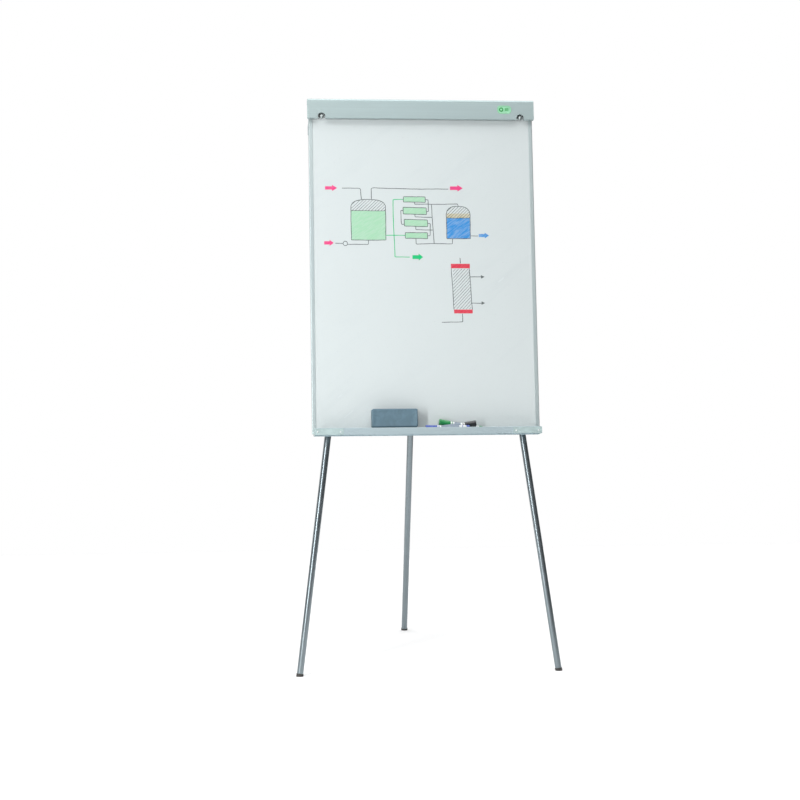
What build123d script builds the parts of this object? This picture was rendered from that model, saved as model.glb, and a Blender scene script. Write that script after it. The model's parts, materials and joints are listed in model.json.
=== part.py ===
"""Flipchart easel: a leaning writing board on three telescopic legs, in millimetres.

The board is designed in its own board frame: X to the right, Y back into the board, Z up along
it, origin at the middle of the pen tray's lower edge, on the plane of the board frame's front.
That frame leans back and is raised onto the legs. Each leg is designed hanging straight down
from its pivot, then swung to its place. The object's own origin is on the floor, under the
middle of its box, with +Z up and the writing side facing -Y.
"""
import os
from math import acos, cos, degrees, radians, sin, tan

from build123d import *

# ---- the stance ----------------------------------------------------------------------------
tray_height = 717.0         # floor to the lower edge of the pen tray
lean = 8.0                  # the board's tilt back from upright, degrees
front_splay = 7.42          # each front leg's tilt outward, in the board's plane, degrees

# ---- the board -----------------------------------------------------------------------------
board_width = 700.0
frame_bottom = 10.0         # lower edge of the board's frame, above the tray's lower edge
frame_height = 1020.0
rail_width = 12.0           # face of a frame rail
rail_depth = 16.0
rail_wall = 1.5
rail_chamber = 4.0          # hollow beside the outer wall, which takes the screws
rail_web = 1.2              # wall between that hollow and the panel's slot
rail_round = 3.0
surface_thickness = 0.5     # enamelled steel sheet
back_thickness = 0.4
panel_gap = 0.1             # play in front of and behind the panel in its slot
panel_edge_gap = 0.3
plug_thickness = 2.0        # rail end plugs
plug_fit = 0.15

# ---- fasteners -----------------------------------------------------------------------------
screw_r = 1.5
screw_head_r = 2.4
screw_head = 1.8
screw_length = 8.0
hole_play = 0.05            # fixed pins and screws in their holes, on the radius
running_play = 0.08         # turning and sliding fits, on the radius

# ---- the clamp bar -------------------------------------------------------------------------
clamp_overlap = 45.0        # bar's lower edge below the frame's top
clamp_height = 61.0
clamp_front = -18.0
clamp_back_inset = 2.0      # bar's rear edge in front of the frame's back
clamp_wall = 2.5
clamp_round = 6.0
clamp_back_round = 2.0
clamp_overhang = 0.3        # the bar's ends stand this far past the board's sides
clamp_cap = 3.0
clamp_cap_chamfer = 1.0
clamp_lip = 3.0             # the bar's inward lower lip
clamp_lip_back = -6.0
grip_round = 1.2
grip_gap = 0.3              # grip strip to writing surface, with nothing clamped
hinge_rod_r = 2.0
hinge_rod_wall = 3.0        # round the rod, in lugs and knuckles
knuckle_gap_below = 1.0     # under a clamp knuckle, above a lug's plate
knuckle_neck = 6.0
lug_width = 20.0
lug_plate = 2.0
clamp_knuckle_width = 12.0
hinge_side_gap = 0.4
hinge_spacing = 240.0
rod_end = 8.0               # rod past the outer knuckles
spring_wire_r = 0.5
spring_clearance = 0.9      # between the rod and the coil
spring_pitch = 2.0
spring_turns = 6
spring_bend_r = 0.6         # rounded bend where a leg leaves the coil
spring_reach = 4.0          # height of the spring's upper leg above the hinge axis
spring_place = 120.0
badge_width = 44.0
badge_height = 26.0
badge_thickness = 1.0
badge_corner = 10.4
badge_edge = 0.4
badge_inset = 90.0          # badge centre to the board's right side
notch_r = 12.0
notch_rise = 4.5            # the notch's centre above the bar's lower edge
peg_inset = 40.0            # pegs in from the board's sides
peg_rise = 8.0              # peg axis above the bar's lower edge
peg_r = 4.0
peg_length = 14.0
peg_round = 1.3
peg_flange_r = 7.0
peg_flange = 1.5
peg_shank_r = 2.5
peg_nut_r = 5.0
peg_nut = 3.0

# ---- the pen tray --------------------------------------------------------------------------
tray_depth = 58.0
tray_lip = 20.5             # height of the tray's front
tray_floor = 11.0           # top of its floor
tray_wall = 1.8
tray_floor_wall = 1.5
tray_edge_round = 0.7
tray_screw_shares = (0.3, 0.88)     # of the way from the middle to the tray's ends
tray_side_inset = 6.0       # tray's open ends inside the board's sides
tray_cap = 2.0
tray_skin = 1.2
tray_skin_length = 88.0
rivet_r = 2.4
rivet_head = 1.0
rivet_insets = (10.0, 79.0)     # from the end cap's outer face

# ---- crossbar and leg pivots ---------------------------------------------------------------
crossbar_inset = 70.0       # the front legs' pivots below the frame's top
crossbar_drop = 14.0        # crossbar's lower edge below the pivots
crossbar_wall = 2.0
knuckle_play = 0.5          # over a knuckle, and on both sides of a tube between walls
front_pivot_inset = 174.0   # pivots in from the board's sides
rivet_head_r = 7.0
rivet_front_head = 1.2
rivet_back_head = 3.0
rivet_back_round = 1.8

# ---- the rear leg's bracket ----------------------------------------------------------------
rear_pivot_drop = 45.0      # rear pivot below the front pivots
bracket_half_width = 30.0
bracket_plate = 3.0
bracket_ear = 3.0
bracket_below = 6.0         # bracket's lower edge below the crossbar's
bracket_clearance = 1.5     # between the bracket's plate and the knuckle
ear_wall = 4.0              # ear's edge round the stop pin
stop_pin_r = 3.0
stop_past_knuckle = 4.0     # stop pin past the knuckle's end, along the leg
stop_gap = 0.3
pin_head_r = 7.0
pin_head = 2.5

# ---- a telescopic leg ----------------------------------------------------------------------
lower_r = 10.0
lower_wall = 1.2
sleeve_wall = 1.42
upper_wall = 1.5
upper_start = 26.0          # from the pivot to the upper tube's end
pivot_r = 4.0
knuckle_side_gap = 0.3
knuckle_shoulder = 1.0      # tube's radius past the knuckle's
plug_length = 34.0
sleeve_length = 100.0
leg_stop_gap = 0.3
collar_wall = 3.5
collar_grip = 20.0          # collar's length over the upper tube
collar_nose = 25.0          # and below it
collar_rise = 29.5          # collar's lower end above the saddle, along the leg
collar_chamfer = 1.6
boss_r = 8.5
boss_height = 4.0           # boss past the collar
knob_r = 11.0
knob_lobe_r = 4.0
knob_lobes = 6
knob_height = 12.0
knob_round = 1.3
knob_gap = 1.0
knob_screw_r = 3.0
knob_tip_gap = 0.3
foot_rim = 1.1              # foot's radius past the lower tube's
foot_height = 8.0
foot_plug = 25.0

# ---- saddles that the front legs rest in ---------------------------------------------------
saddle_play = 0.3
saddle_wall = 4.0
saddle_height = 10.0
saddle_plate = 3.0
saddle_tail = 32.0          # plate's reach inward from the leg's axis
saddle_screw_inset = 22.0

# ---- what lies on the tray -----------------------------------------------------------------
eraser_width = 140.0
eraser_height = 57.0
eraser_depth = 32.0
eraser_felt = 11.0
eraser_felt_inset = 2.5
eraser_round = 2.0
eraser_x = -100.5
eraser_bottom = 23.0
eraser_gap = 0.05
marker_length = 134.0
marker_cap_length = 35.0
marker_cap_r = 8.6
marker_cap_mouth_r = 7.4
marker_barrel_r = 7.0
marker_shoulder_r = 6.4     # barrel's shoulder inside the cap
marker_shoulder = 14.0
marker_chamfer = 1.0
marker_tail_r = 7.4
marker_tail = 10.0
marker_play = 2.1           # blue marker to the tray's front wall
marker_lift = 0.3           # markers above the tray's floor

# ---- worked out from the sizes above -------------------------------------------------------
half = board_width / 2
frame_top = frame_bottom + frame_height
rail_slot = rail_wall + rail_chamber + rail_web         # outer edge to the slot's bottom
rail_screw = rail_wall + rail_chamber / 2
panel_front = rail_wall + panel_gap
panel_back = rail_depth - rail_wall - panel_gap
panel_half = half - rail_slot - panel_edge_gap
panel_low = frame_bottom + rail_slot + panel_edge_gap
panel_high = frame_top - rail_slot - panel_edge_gap
clamp_bottom = frame_top - clamp_overlap
clamp_top = clamp_bottom + clamp_height
clamp_back = rail_depth - clamp_back_inset
clamp_half = half + clamp_overhang
hinge_y = rail_depth / 2
hinge_r = hinge_rod_r + hinge_rod_wall
hinge_z = frame_top + lug_plate + knuckle_gap_below + hinge_r
spring_r = hinge_rod_r + spring_clearance + spring_wire_r
peg_x = half - peg_inset
peg_z = clamp_bottom + peg_rise
tray_half = half - tray_side_inset
tray_outer = tray_half + tray_cap
upper_r = lower_r + sleeve_wall + running_play + upper_wall
knuckle_r = upper_r - knuckle_shoulder
knuckle_gap = 2 * (upper_r + knuckle_play)
crossbar_z = frame_top - crossbar_inset
crossbar_low = crossbar_z - crossbar_drop
crossbar_high = crossbar_z + knuckle_r + knuckle_play + crossbar_wall
front_pivot_x = half - front_pivot_inset
leg_plane = rail_depth + crossbar_wall + knuckle_gap / 2
crossbar_back = leg_plane + knuckle_gap / 2 + crossbar_wall
rear_pivot_y = crossbar_back + bracket_plate + bracket_clearance + knuckle_r
rear_pivot_z = crossbar_z - rear_pivot_drop
bracket_bottom = crossbar_low - bracket_below
saddle_z = frame_bottom + rail_screw
saddle_reach = (crossbar_z - saddle_z) / cos(radians(front_splay))
collar_r = upper_r + collar_wall
boss_top = collar_r + boss_height
upper_end = saddle_reach - collar_rise - collar_nose
foot_r = lower_r + foot_rim


def floor_height(y, z):
    """Height above the floor of a point of the board frame."""
    return tray_height + z * cos(radians(lean)) - y * sin(radians(lean))


# All three legs are alike: the front ones' reach to the floor sets the length, and the rear
# leg swings out until it reaches the floor too.
leg_length = floor_height(leg_plane, crossbar_z) / (cos(radians(lean)) * cos(radians(front_splay)))
rear_spread = degrees(acos(floor_height(rear_pivot_y, rear_pivot_z) / leg_length)) + lean
lower_start = upper_end - sleeve_length - leg_stop_gap
lower_end = leg_length - foot_height

board_frame = Location((0, 0, tray_height), (-lean, 0, 0))
leg_frames = {
    "front_left": Location((-front_pivot_x, leg_plane, crossbar_z), (0, front_splay, 0)),
    "front_right": Location((front_pivot_x, leg_plane, crossbar_z), (0, -front_splay, 0)),
    "rear": Location((0, rear_pivot_y, rear_pivot_z), (rear_spread, 0, 0)) * Rot(0, 0, -90),
}


# ---- plain shapes --------------------------------------------------------------------------
def block(x, y, z):
    """Block between pairs of bounds along each axis."""
    size = (x[1] - x[0], y[1] - y[0], z[1] - z[0])
    return Pos((x[0] + x[1]) / 2, (y[0] + y[1]) / 2, (z[0] + z[1]) / 2) * Box(*size)


def rod_x(x, y, z, r):
    """Round bar along X between two ends."""
    return Pos((x[0] + x[1]) / 2, y, z) * Rot(0, 90, 0) * Cylinder(r, x[1] - x[0])


def rod_y(x, y, z, r):
    """Round bar along Y between two ends."""
    return Pos(x, (y[0] + y[1]) / 2, z) * Rot(90, 0, 0) * Cylinder(r, y[1] - y[0])


def rod_z(x, y, z, r):
    """Round bar along Z between two ends."""
    return Pos(x, y, (z[0] + z[1]) / 2) * Cylinder(r, z[1] - z[0])


def pane(u, v):
    """Flat rectangle between pairs of bounds."""
    return Pos((u[0] + u[1]) / 2, (v[0] + v[1]) / 2) * Rectangle(u[1] - u[0], v[1] - v[0])


def rounded_at(sketch, point, r):
    """Round the sketch's corner nearest to a point."""
    return fillet(sketch.vertices().sort_by_distance((*point, 0))[0], r)


def along_x(section, x):
    """Carry a section drawn in Y and Z along X between two ends."""
    return extrude(Plane.YZ.offset(x[0]) * section, amount=x[1] - x[0])


def both_sides(shape):
    """A shape and its mirror image across the middle, as separate solids."""
    return [shape, mirror(shape, Plane.YZ)]


def group(shapes):
    """Separate solids kept together as one node."""
    return Compound(children=[solid for shape in shapes for solid in shape.solids()])


# ---- fasteners -----------------------------------------------------------------------------
def screw(x, y, z, into):
    """Pan-head screw along Y, its head standing on the face at y, driven in the sign of into."""
    head = rod_y(x, sorted((y, y - into * screw_head)), z, screw_head_r)
    shank = rod_y(x, sorted((y, y + into * screw_length)), z, screw_r)
    return head + shank


def screw_hole(x, y, z, into):
    """Clearance hole for that screw."""
    ends = sorted((y - into * screw_head, y + into * screw_length))
    return rod_y(x, ends, z, screw_r + hole_play)


# Every screw that holds something to the frame's rails: where its head stands, and its way in.
tray_screw_places = [
    (sign * share * tray_half, -tray_wall, frame_bottom + rail_screw, 1)
    for sign in (-1, 1)
    for share in tray_screw_shares
]
crossbar_screw_places = [
    (sign * (half - rail_screw), rail_depth + crossbar_wall, z, -1)
    for sign in (-1, 1)
    for z in (crossbar_z - crossbar_drop / 2, crossbar_z + crossbar_drop / 2)
]
saddle_x = front_pivot_x + (crossbar_z - saddle_z) * tan(radians(front_splay))
saddle_screw_places = [
    (sign * (saddle_x - saddle_screw_inset), rail_depth + saddle_plate, saddle_z, -1) for sign in (-1, 1)
]
rail_screw_places = tray_screw_places + crossbar_screw_places + saddle_screw_places
rail_screw_holes = [screw_hole(*place) for place in rail_screw_places]


# ---- the board -----------------------------------------------------------------------------
def rail(length):
    """Frame rail standing up Z: outer face at X = 0, a screw chamber, then the panel's slot."""
    body = pane((0, rail_width), (0, rail_depth))
    body = rounded_at(body, (0, 0), rail_round)
    body = rounded_at(body, (0, rail_depth), rail_round)
    inside = (rail_wall, rail_depth - rail_wall)
    chamber = pane((rail_wall, rail_wall + rail_chamber), inside)
    slot = pane((rail_slot, rail_width), inside)
    return extrude(body - chamber - slot, amount=length)


def side_rail(side):
    """Left or right rail, from the frame's bottom to its top."""
    shape = Pos(-half, 0, frame_bottom) * rail(frame_top - frame_bottom)
    if side > 0:
        shape = mirror(shape, Plane.YZ)
    return shape - rail_screw_holes


def bottom_rail():
    """Rail between the side rails, opening upward."""
    length = board_width - 2 * rail_width
    return Pos(length / 2, 0, frame_bottom) * Rot(0, -90, 0) * rail(length) - rail_screw_holes


def top_rail():
    """Rail between the side rails, opening downward."""
    length = board_width - 2 * rail_width
    return Pos(-length / 2, 0, frame_top) * Rot(0, 90, 0) * rail(length)


def rail_plugs():
    """Plastic plugs that close the four open ends of the side rails."""
    plate = pane((-half, -half + rail_width), (0, rail_depth))
    plate = rounded_at(plate, (-half, 0), rail_round)
    plate = rounded_at(plate, (-half, rail_depth), rail_round)
    tongue = pane(
        (-half + rail_wall + plug_fit, -half + rail_wall + rail_chamber - plug_fit),
        (rail_wall + plug_fit, rail_depth - rail_wall - plug_fit),
    )
    low = extrude(Plane.XY.offset(frame_bottom - plug_thickness) * plate, amount=plug_thickness)
    low += extrude(Plane.XY.offset(frame_bottom) * tongue, amount=rail_width / 2)
    high = extrude(Plane.XY.offset(frame_top) * plate, amount=plug_thickness)
    high += extrude(Plane.XY.offset(frame_top) * tongue, amount=-rail_width / 2)
    return group(both_sides(low) + both_sides(high))


def panel_layer(y):
    """One layer of the panel, with the holes that the pad pegs' shanks pass through."""
    layer = block((-panel_half, panel_half), y, (panel_low, panel_high))
    holes = both_sides(rod_y(peg_x, (0, rail_depth), peg_z, peg_shank_r + hole_play))
    return layer - holes


def pad_peg():
    """Peg that carries a pad's punched hole, with a flange against the writing surface."""
    peg = rod_y(peg_x, (panel_front - peg_length, panel_front - peg_flange), peg_z, peg_r)
    peg = fillet(peg.edges().sort_by(Axis.Y)[0], peg_round)
    flange = rod_y(peg_x, (panel_front - peg_flange, panel_front), peg_z, peg_flange_r)
    shank = rod_y(peg_x, (panel_front, panel_back + peg_nut), peg_z, peg_shank_r)
    return peg + flange + shank


def peg_nut_shape():
    """Hexagonal nut on the peg's shank, behind the panel."""
    hexagon = RegularPolygon(peg_nut_r, 6) - Circle(peg_shank_r)
    nut = extrude(hexagon, amount=peg_nut)
    return Pos(peg_x, panel_back + peg_nut, peg_z) * Rot(90, 0, 0) * nut


# ---- the pen tray --------------------------------------------------------------------------
def pen_tray():
    """Extruded tray: a fixing flange on the frame, a floor, and a front wall with a soft edge."""
    flange = pane((-tray_wall, 0), (0, tray_lip - rail_wall))
    floor = pane((-tray_depth, 0), (tray_floor - tray_floor_wall, tray_floor))
    front = pane((-tray_depth, -tray_depth + tray_wall), (0, tray_lip))
    for corner in (-tray_depth, -tray_depth + tray_wall):
        front = rounded_at(front, (corner, tray_lip), tray_edge_round)
    tray = along_x(flange + floor + front, (-tray_half, tray_half))
    holes = [screw_hole(*place) for place in tray_screw_places]
    rivets = [hole for x in rivet_places() for hole in both_sides(rivet(x, hole_play))]
    return tray - holes - rivets


def rivet_places():
    """Distances of the tray's rivets from the middle, on one side."""
    return [tray_outer - inset for inset in rivet_insets]


def rivet(x, play=0.0):
    """Blind rivet through the tray's skin and front wall, with a low head in front."""
    face = -tray_depth - tray_skin
    z = tray_lip / 2 - tray_floor_wall
    head = rod_y(x, (face - rivet_head, face), z, rivet_r + play)
    shank = rod_y(x, (face, face + tray_skin + tray_wall), z, rivet_r / 2 + play)
    return head + shank


def tray_end_cap():
    """Right end cap: a plate that closes the tray's end, and a skin round onto its front."""
    outline = pane((-tray_depth - tray_skin, 0), (0, tray_lip))
    outline = rounded_at(outline, (-tray_depth - tray_skin, tray_lip), rail_round)
    plate = along_x(outline, (tray_half, tray_outer))
    skin = block(
        (tray_outer - tray_skin_length, tray_half),
        (-tray_depth - tray_skin, -tray_depth),
        (0, tray_lip - rail_wall),
    )
    cap = plate + skin
    return cap - [rivet(x, hole_play) for x in rivet_places()]


# ---- the clamp bar -------------------------------------------------------------------------
def hinge_places():
    """Middles of the three hinges along the board."""
    return [-hinge_spacing, 0, hinge_spacing]


def hinge_lug(x):
    """Lug on the frame's top rail, with an eye round the hinge rod."""
    span = (x - lug_width / 2, x + lug_width / 2)
    plate = block(span, (rail_round, rail_depth - rail_round), (frame_top, frame_top + lug_plate))
    neck = block(
        span,
        (hinge_y - knuckle_neck / 2, hinge_y + knuckle_neck / 2),
        (frame_top + lug_plate, hinge_z),
    )
    eye = rod_x(span, hinge_y, hinge_z, hinge_r)
    return plate + neck + eye - rod_x(span, hinge_y, hinge_z, hinge_rod_r + running_play)


def clamp_knuckle(x):
    """Knuckle under the clamp bar's top, threaded by the hinge rod."""
    span = (x - clamp_knuckle_width / 2, x + clamp_knuckle_width / 2)
    neck = block(
        span,
        (hinge_y - knuckle_neck / 2, hinge_y + knuckle_neck / 2),
        (hinge_z, clamp_top - clamp_wall),
    )
    return neck + rod_x(span, hinge_y, hinge_z, hinge_r)


def clamp_knuckle_places():
    """Middles of the knuckles on both sides of each lug."""
    step = lug_width / 2 + hinge_side_gap + clamp_knuckle_width / 2
    return [x + sign * step for x in hinge_places() for sign in (-1, 1)]


def clamp_outline(corner):
    """The bar's outer outline, down its front and back over the frame."""
    outline = pane((clamp_front, clamp_back), (clamp_bottom, clamp_top))
    outline = rounded_at(outline, (clamp_front, clamp_top), corner)
    return rounded_at(outline, (clamp_back, clamp_top), clamp_back_round)


def notch(x, y):
    """Round notch in the bar's lower edge, which clears a pad peg."""
    return rod_y(x, y, clamp_bottom + notch_rise, notch_r)


def clamp_bar():
    """Open extrusion: front plate, rounded top, rear flange with knuckles, and an inward lip."""
    inner = pane(
        (clamp_front + clamp_wall, clamp_back + clamp_wall),
        (clamp_bottom + clamp_lip, clamp_top - clamp_wall),
    )
    inner = rounded_at(inner, (clamp_front + clamp_wall, clamp_top - clamp_wall), clamp_round - clamp_wall)
    behind_lip = pane((clamp_lip_back, clamp_back), (clamp_bottom, clamp_bottom + clamp_lip))
    section = clamp_outline(clamp_round) - inner - behind_lip
    bar = along_x(section, (-clamp_half, clamp_half))
    for x in clamp_knuckle_places():
        bar += clamp_knuckle(x)
    bar -= rod_x((-clamp_half, clamp_half), hinge_y, hinge_z, hinge_rod_r)
    return bar - both_sides(notch(peg_x, (clamp_front, clamp_lip_back)))


def clamp_end_cap():
    """Right end cap of the bar: a plate in front of and above the board's frame."""
    outline = clamp_outline(clamp_round)
    beside_frame = pane((-hinge_side_gap, clamp_back), (clamp_bottom, frame_top + plug_thickness))
    outline = rounded_at(outline, (clamp_front, clamp_bottom), clamp_wall)
    cap = along_x(outline - beside_frame, (clamp_half, clamp_half + clamp_cap))
    rim = cap.faces().sort_by(Axis.X)[-1].edges()
    return chamfer(rim, clamp_cap_chamfer)


def grip_strip():
    """Rubber strip on the bar's lip, rounded where it presses on the paper."""
    strip = pane((clamp_lip_back, panel_front - grip_gap), (clamp_bottom, clamp_bottom + clamp_lip))
    for z in (clamp_bottom, clamp_bottom + clamp_lip):
        strip = rounded_at(strip, (panel_front - grip_gap, z), grip_round)
    reach = peg_x - notch_r - clamp_lip
    return along_x(strip, (-reach, reach))


def clamp_spring():
    """Torsion spring round the hinge rod; one leg stands on the frame, the other holds the bar up."""
    turns = spring_pitch * spring_turns
    path = Helix(spring_pitch, turns, spring_r)
    section = (path ^ 0) * Circle(spring_wire_r)
    coil = Pos(spring_place, hinge_y, hinge_z) * Rot(0, 0, 90) * Rot(90, 0, 0) * sweep(section, path)
    start = spring_place
    end = spring_place + turns
    leg_y = hinge_y + spring_r
    down = rod_z(start, leg_y, (frame_top, hinge_z), spring_wire_r)
    up = rod_z(end, leg_y, (hinge_z, hinge_z + spring_reach), spring_wire_r)
    bends = [Pos(x, leg_y, hinge_z) * Sphere(spring_bend_r) for x in (start, end)]
    return coil + down + up + bends


def badge():
    """Plain oval-cornered badge on the bar's front."""
    x = half - badge_inset
    z = (clamp_bottom + clamp_top) / 2
    plate = extrude(RectangleRounded(badge_width, badge_height, badge_corner), amount=badge_thickness)
    plate = fillet(plate.faces().sort_by(Axis.Z)[-1].edges(), badge_edge)
    return Pos(x, clamp_front, z) * Rot(90, 0, 0) * plate


# ---- crossbar, pivots and saddles ----------------------------------------------------------
def crossbar():
    """Steel channel, open below, across the back of the frame; the legs' knuckles swing in it."""
    outside = pane((rail_depth, crossbar_back), (crossbar_low, crossbar_high))
    inside = pane(
        (rail_depth + crossbar_wall, crossbar_back - crossbar_wall),
        (crossbar_low, crossbar_high - crossbar_wall),
    )
    bar = along_x(outside - inside, (-half, half))
    pivots = both_sides(rod_y(front_pivot_x, (0, 2 * crossbar_back), crossbar_z, pivot_r + hole_play))
    screws = [screw_hole(*place) for place in crossbar_screw_places + bracket_screw_places()]
    return bar - pivots - screws


def leg_rivet():
    """Pivot rivet of a front leg, through both walls of the crossbar."""
    shank = rod_y(front_pivot_x, (rail_depth, crossbar_back), crossbar_z, pivot_r)
    front = rod_y(front_pivot_x, (rail_depth - rivet_front_head, rail_depth), crossbar_z, rivet_head_r)
    back = rod_y(front_pivot_x, (crossbar_back, crossbar_back + rivet_back_head), crossbar_z, rivet_head_r)
    back = fillet(back.edges().sort_by(Axis.Y)[-1], rivet_back_round)
    return shank + front + back


def bracket_screw_places():
    """Screws through the rear bracket's plate into the crossbar's back wall."""
    z = (bracket_bottom + crossbar_drop + crossbar_high) / 2
    inset = (bracket_half_width + knuckle_gap / 2 + bracket_ear) / 2
    return [(sign * inset, crossbar_back + bracket_plate, z, -1) for sign in (-1, 1)]


def stop_centre():
    """Y and Z of the stop pin: beside the opened rear leg, on its outer side."""
    angle = radians(rear_spread)
    down = upper_start + stop_past_knuckle
    aside = upper_r + stop_pin_r + stop_gap
    y = rear_pivot_y + down * sin(angle) + aside * cos(angle)
    z = rear_pivot_z - down * cos(angle) + aside * sin(angle)
    return y, z


def rear_bracket():
    """Steel bracket on the crossbar: a plate with two ears that hold the pivot and the stop pin."""
    plate_back = crossbar_back + bracket_plate
    plate = block(
        (-bracket_half_width, bracket_half_width),
        (crossbar_back, plate_back),
        (bracket_bottom, crossbar_high),
    )
    stop = stop_centre()
    ear = make_hull(
        (
            pane((plate_back, plate_back + bracket_ear), (bracket_bottom, crossbar_high)).edges()
            + (Pos(rear_pivot_y, rear_pivot_z) * Circle(upper_r)).edges()
            + (Pos(*stop) * Circle(stop_pin_r + ear_wall)).edges()
        )
    )
    inner = knuckle_gap / 2
    ears = both_sides(along_x(ear, (inner, inner + bracket_ear)))
    wide = (-inner - bracket_ear, inner + bracket_ear)
    bracket = plate + ears
    bracket -= rod_x(wide, rear_pivot_y, rear_pivot_z, pivot_r + hole_play)
    bracket -= rod_x(wide, *stop, stop_pin_r + hole_play)
    return bracket - [screw_hole(*place) for place in bracket_screw_places()]


def headed_pin(y, z, r, head_r):
    """Pin along X across the rear bracket's ears, with a head at each end."""
    reach = knuckle_gap / 2 + bracket_ear
    pin = rod_x((-reach, reach), y, z, r)
    for inner, outer in ((reach, reach + pin_head), (-reach - pin_head, -reach)):
        pin += rod_x((inner, outer), y, z, head_r)
    return pin


def leg_saddle():
    """Right saddle: a block on the frame's bottom rail, open inward, that the leg rests in."""
    bore = lower_r + saddle_play
    z = (saddle_z - saddle_height / 2, saddle_z + saddle_height / 2)
    tilt = Location((saddle_x, leg_plane, saddle_z), (0, -front_splay, 0))
    outer = saddle_x + bore + saddle_wall
    body = block((saddle_x - bore / 2, outer), (rail_depth, leg_plane + bore + saddle_wall), z)
    upright = body.edges().filter_by(Axis.Z).sort_by_distance((outer, leg_plane + bore, saddle_z))
    body = fillet(upright[0], saddle_wall)
    plate = block((saddle_x - saddle_tail, saddle_x), (rail_depth, rail_depth + saddle_plate), z)
    deep = 2 * saddle_height
    slot = rod_z(0, 0, (-deep, deep), bore)
    slot += block((-saddle_tail - deep, 0), (-bore, bore), (-deep, deep))
    return body + plate - tilt * slot - [screw_hole(*place) for place in saddle_screw_places]


# ---- a telescopic leg, hanging down -Z from its pivot, with the pivot's axis along Y --------
def leg_knuckle():
    """Plastic knuckle on the pivot, with a plug that fills the upper tube's end."""
    wide = knuckle_gap / 2 - knuckle_side_gap
    eye = rod_y(0, (-wide, wide), 0, knuckle_r)
    body = block((-knuckle_r, knuckle_r), (-wide, wide), (-upper_start, 0))
    plug = rod_z(0, 0, (-upper_start - plug_length, -upper_start), upper_r - upper_wall)
    return eye + body + plug - rod_y(0, (-wide, wide), 0, pivot_r + running_play)


def tube(start, end, r, wall):
    """Round tube between two distances down the leg."""
    return rod_z(0, 0, (-end, -start), r) - rod_z(0, 0, (-end, -start), r - wall)


def guide_sleeve():
    """Plastic sleeve round the lower tube's top, which slides in the upper tube."""
    outside = upper_r - upper_wall - running_play
    return tube(lower_start, lower_start + sleeve_length, outside, outside - lower_r)


def knob_place():
    """Distance of the lock knob's screw down the leg."""
    return upper_end + collar_nose / 2


def lock_collar():
    """Plastic collar on the upper tube's end, with a guide for the lower tube and the knob's boss."""
    end = upper_end + collar_nose
    body = rod_z(0, 0, (-end, -upper_end + collar_grip), collar_r)
    body = chamfer(body.edges().filter_by(GeomType.CIRCLE), collar_chamfer)
    body += rod_y(0, (0, boss_top), -knob_place(), boss_r)
    body -= rod_z(0, 0, (-upper_end, -upper_end + collar_grip), upper_r)
    body -= rod_z(0, 0, (-end, -upper_end), lower_r + running_play)
    return body - rod_y(0, (0, boss_top), -knob_place(), knob_screw_r + running_play)


def lock_knob():
    """Lobed thumb screw whose tip grips the lower tube."""
    z = -knob_place()
    face = boss_top + knob_gap
    turns = [360 / knob_lobes * lobe for lobe in range(knob_lobes)]
    head = Circle(knob_r) + [Rot(0, 0, turn) * Pos(knob_r, 0) * Circle(knob_lobe_r) for turn in turns]
    knob = extrude(head, amount=knob_height)
    knob = fillet(knob.faces().sort_by(Axis.Z)[-1].edges(), knob_round)
    knob = Pos(0, face, z) * Rot(-90, 0, 0) * knob
    return knob + rod_y(0, (lower_r + knob_tip_gap, face), z, knob_screw_r)


def foot(leg_frame):
    """Rubber foot plugged into the lower tube, its underside cut level with the floor."""
    stub = rod_z(0, 0, (-leg_length - 2 * foot_height, -lower_end), foot_r)
    plug = rod_z(0, 0, (-lower_end, -lower_end + foot_plug), lower_r - lower_wall)
    placed = board_frame * leg_frame * (stub + plug)
    reach = 2 * leg_length
    return placed - block((-reach, reach), (-reach, reach), (-reach, 0))


# ---- what lies on the tray -----------------------------------------------------------------
def eraser_block():
    """Grip of the board eraser."""
    x = (eraser_x - eraser_width / 2, eraser_x + eraser_width / 2)
    back = panel_front - eraser_gap - eraser_felt
    grip = block(x, (back - eraser_depth, back), (eraser_bottom, eraser_bottom + eraser_height))
    return fillet(grip.faces().sort_by(Axis.Y)[0].edges() + grip.edges().filter_by(Axis.Y), eraser_round)


def eraser_pad():
    """Felt pad of the eraser, against the writing surface."""
    inset = eraser_felt_inset
    x = (eraser_x - eraser_width / 2 + inset, eraser_x + eraser_width / 2 - inset)
    back = panel_front - eraser_gap
    z = (eraser_bottom + inset, eraser_bottom + eraser_height - inset)
    return block(x, (back - eraser_felt, back), z)


def marker_frame(cap_end, toward):
    """Frame with its Z along the marker, from the middle of its cap's end."""
    start = Vector(*cap_end)
    return Plane(origin=start, z_dir=Vector(*toward) - start).location


def marker_shoulder_rod():
    """The end of the barrel that the cap is pushed over."""
    return rod_z(0, 0, (marker_cap_length - marker_shoulder, marker_cap_length), marker_shoulder_r)


def marker_cap():
    """Tapered cap, closed at Z = 0."""
    cap = Pos(0, 0, marker_cap_length / 2) * Cone(marker_cap_r, marker_cap_mouth_r, marker_cap_length)
    cap = chamfer(cap.edges().sort_by(Axis.Z)[0], marker_chamfer)
    return cap - marker_shoulder_rod()


def marker_barrel():
    """Barrel with its shoulder in the cap and a tail plug."""
    body = rod_z(0, 0, (marker_cap_length, marker_length - marker_tail), marker_barrel_r)
    tail = rod_z(0, 0, (marker_length - marker_tail, marker_length), marker_tail_r)
    tail = chamfer(tail.edges().sort_by(Axis.Z)[-1], marker_chamfer)
    return marker_shoulder_rod() + body + tail


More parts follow.
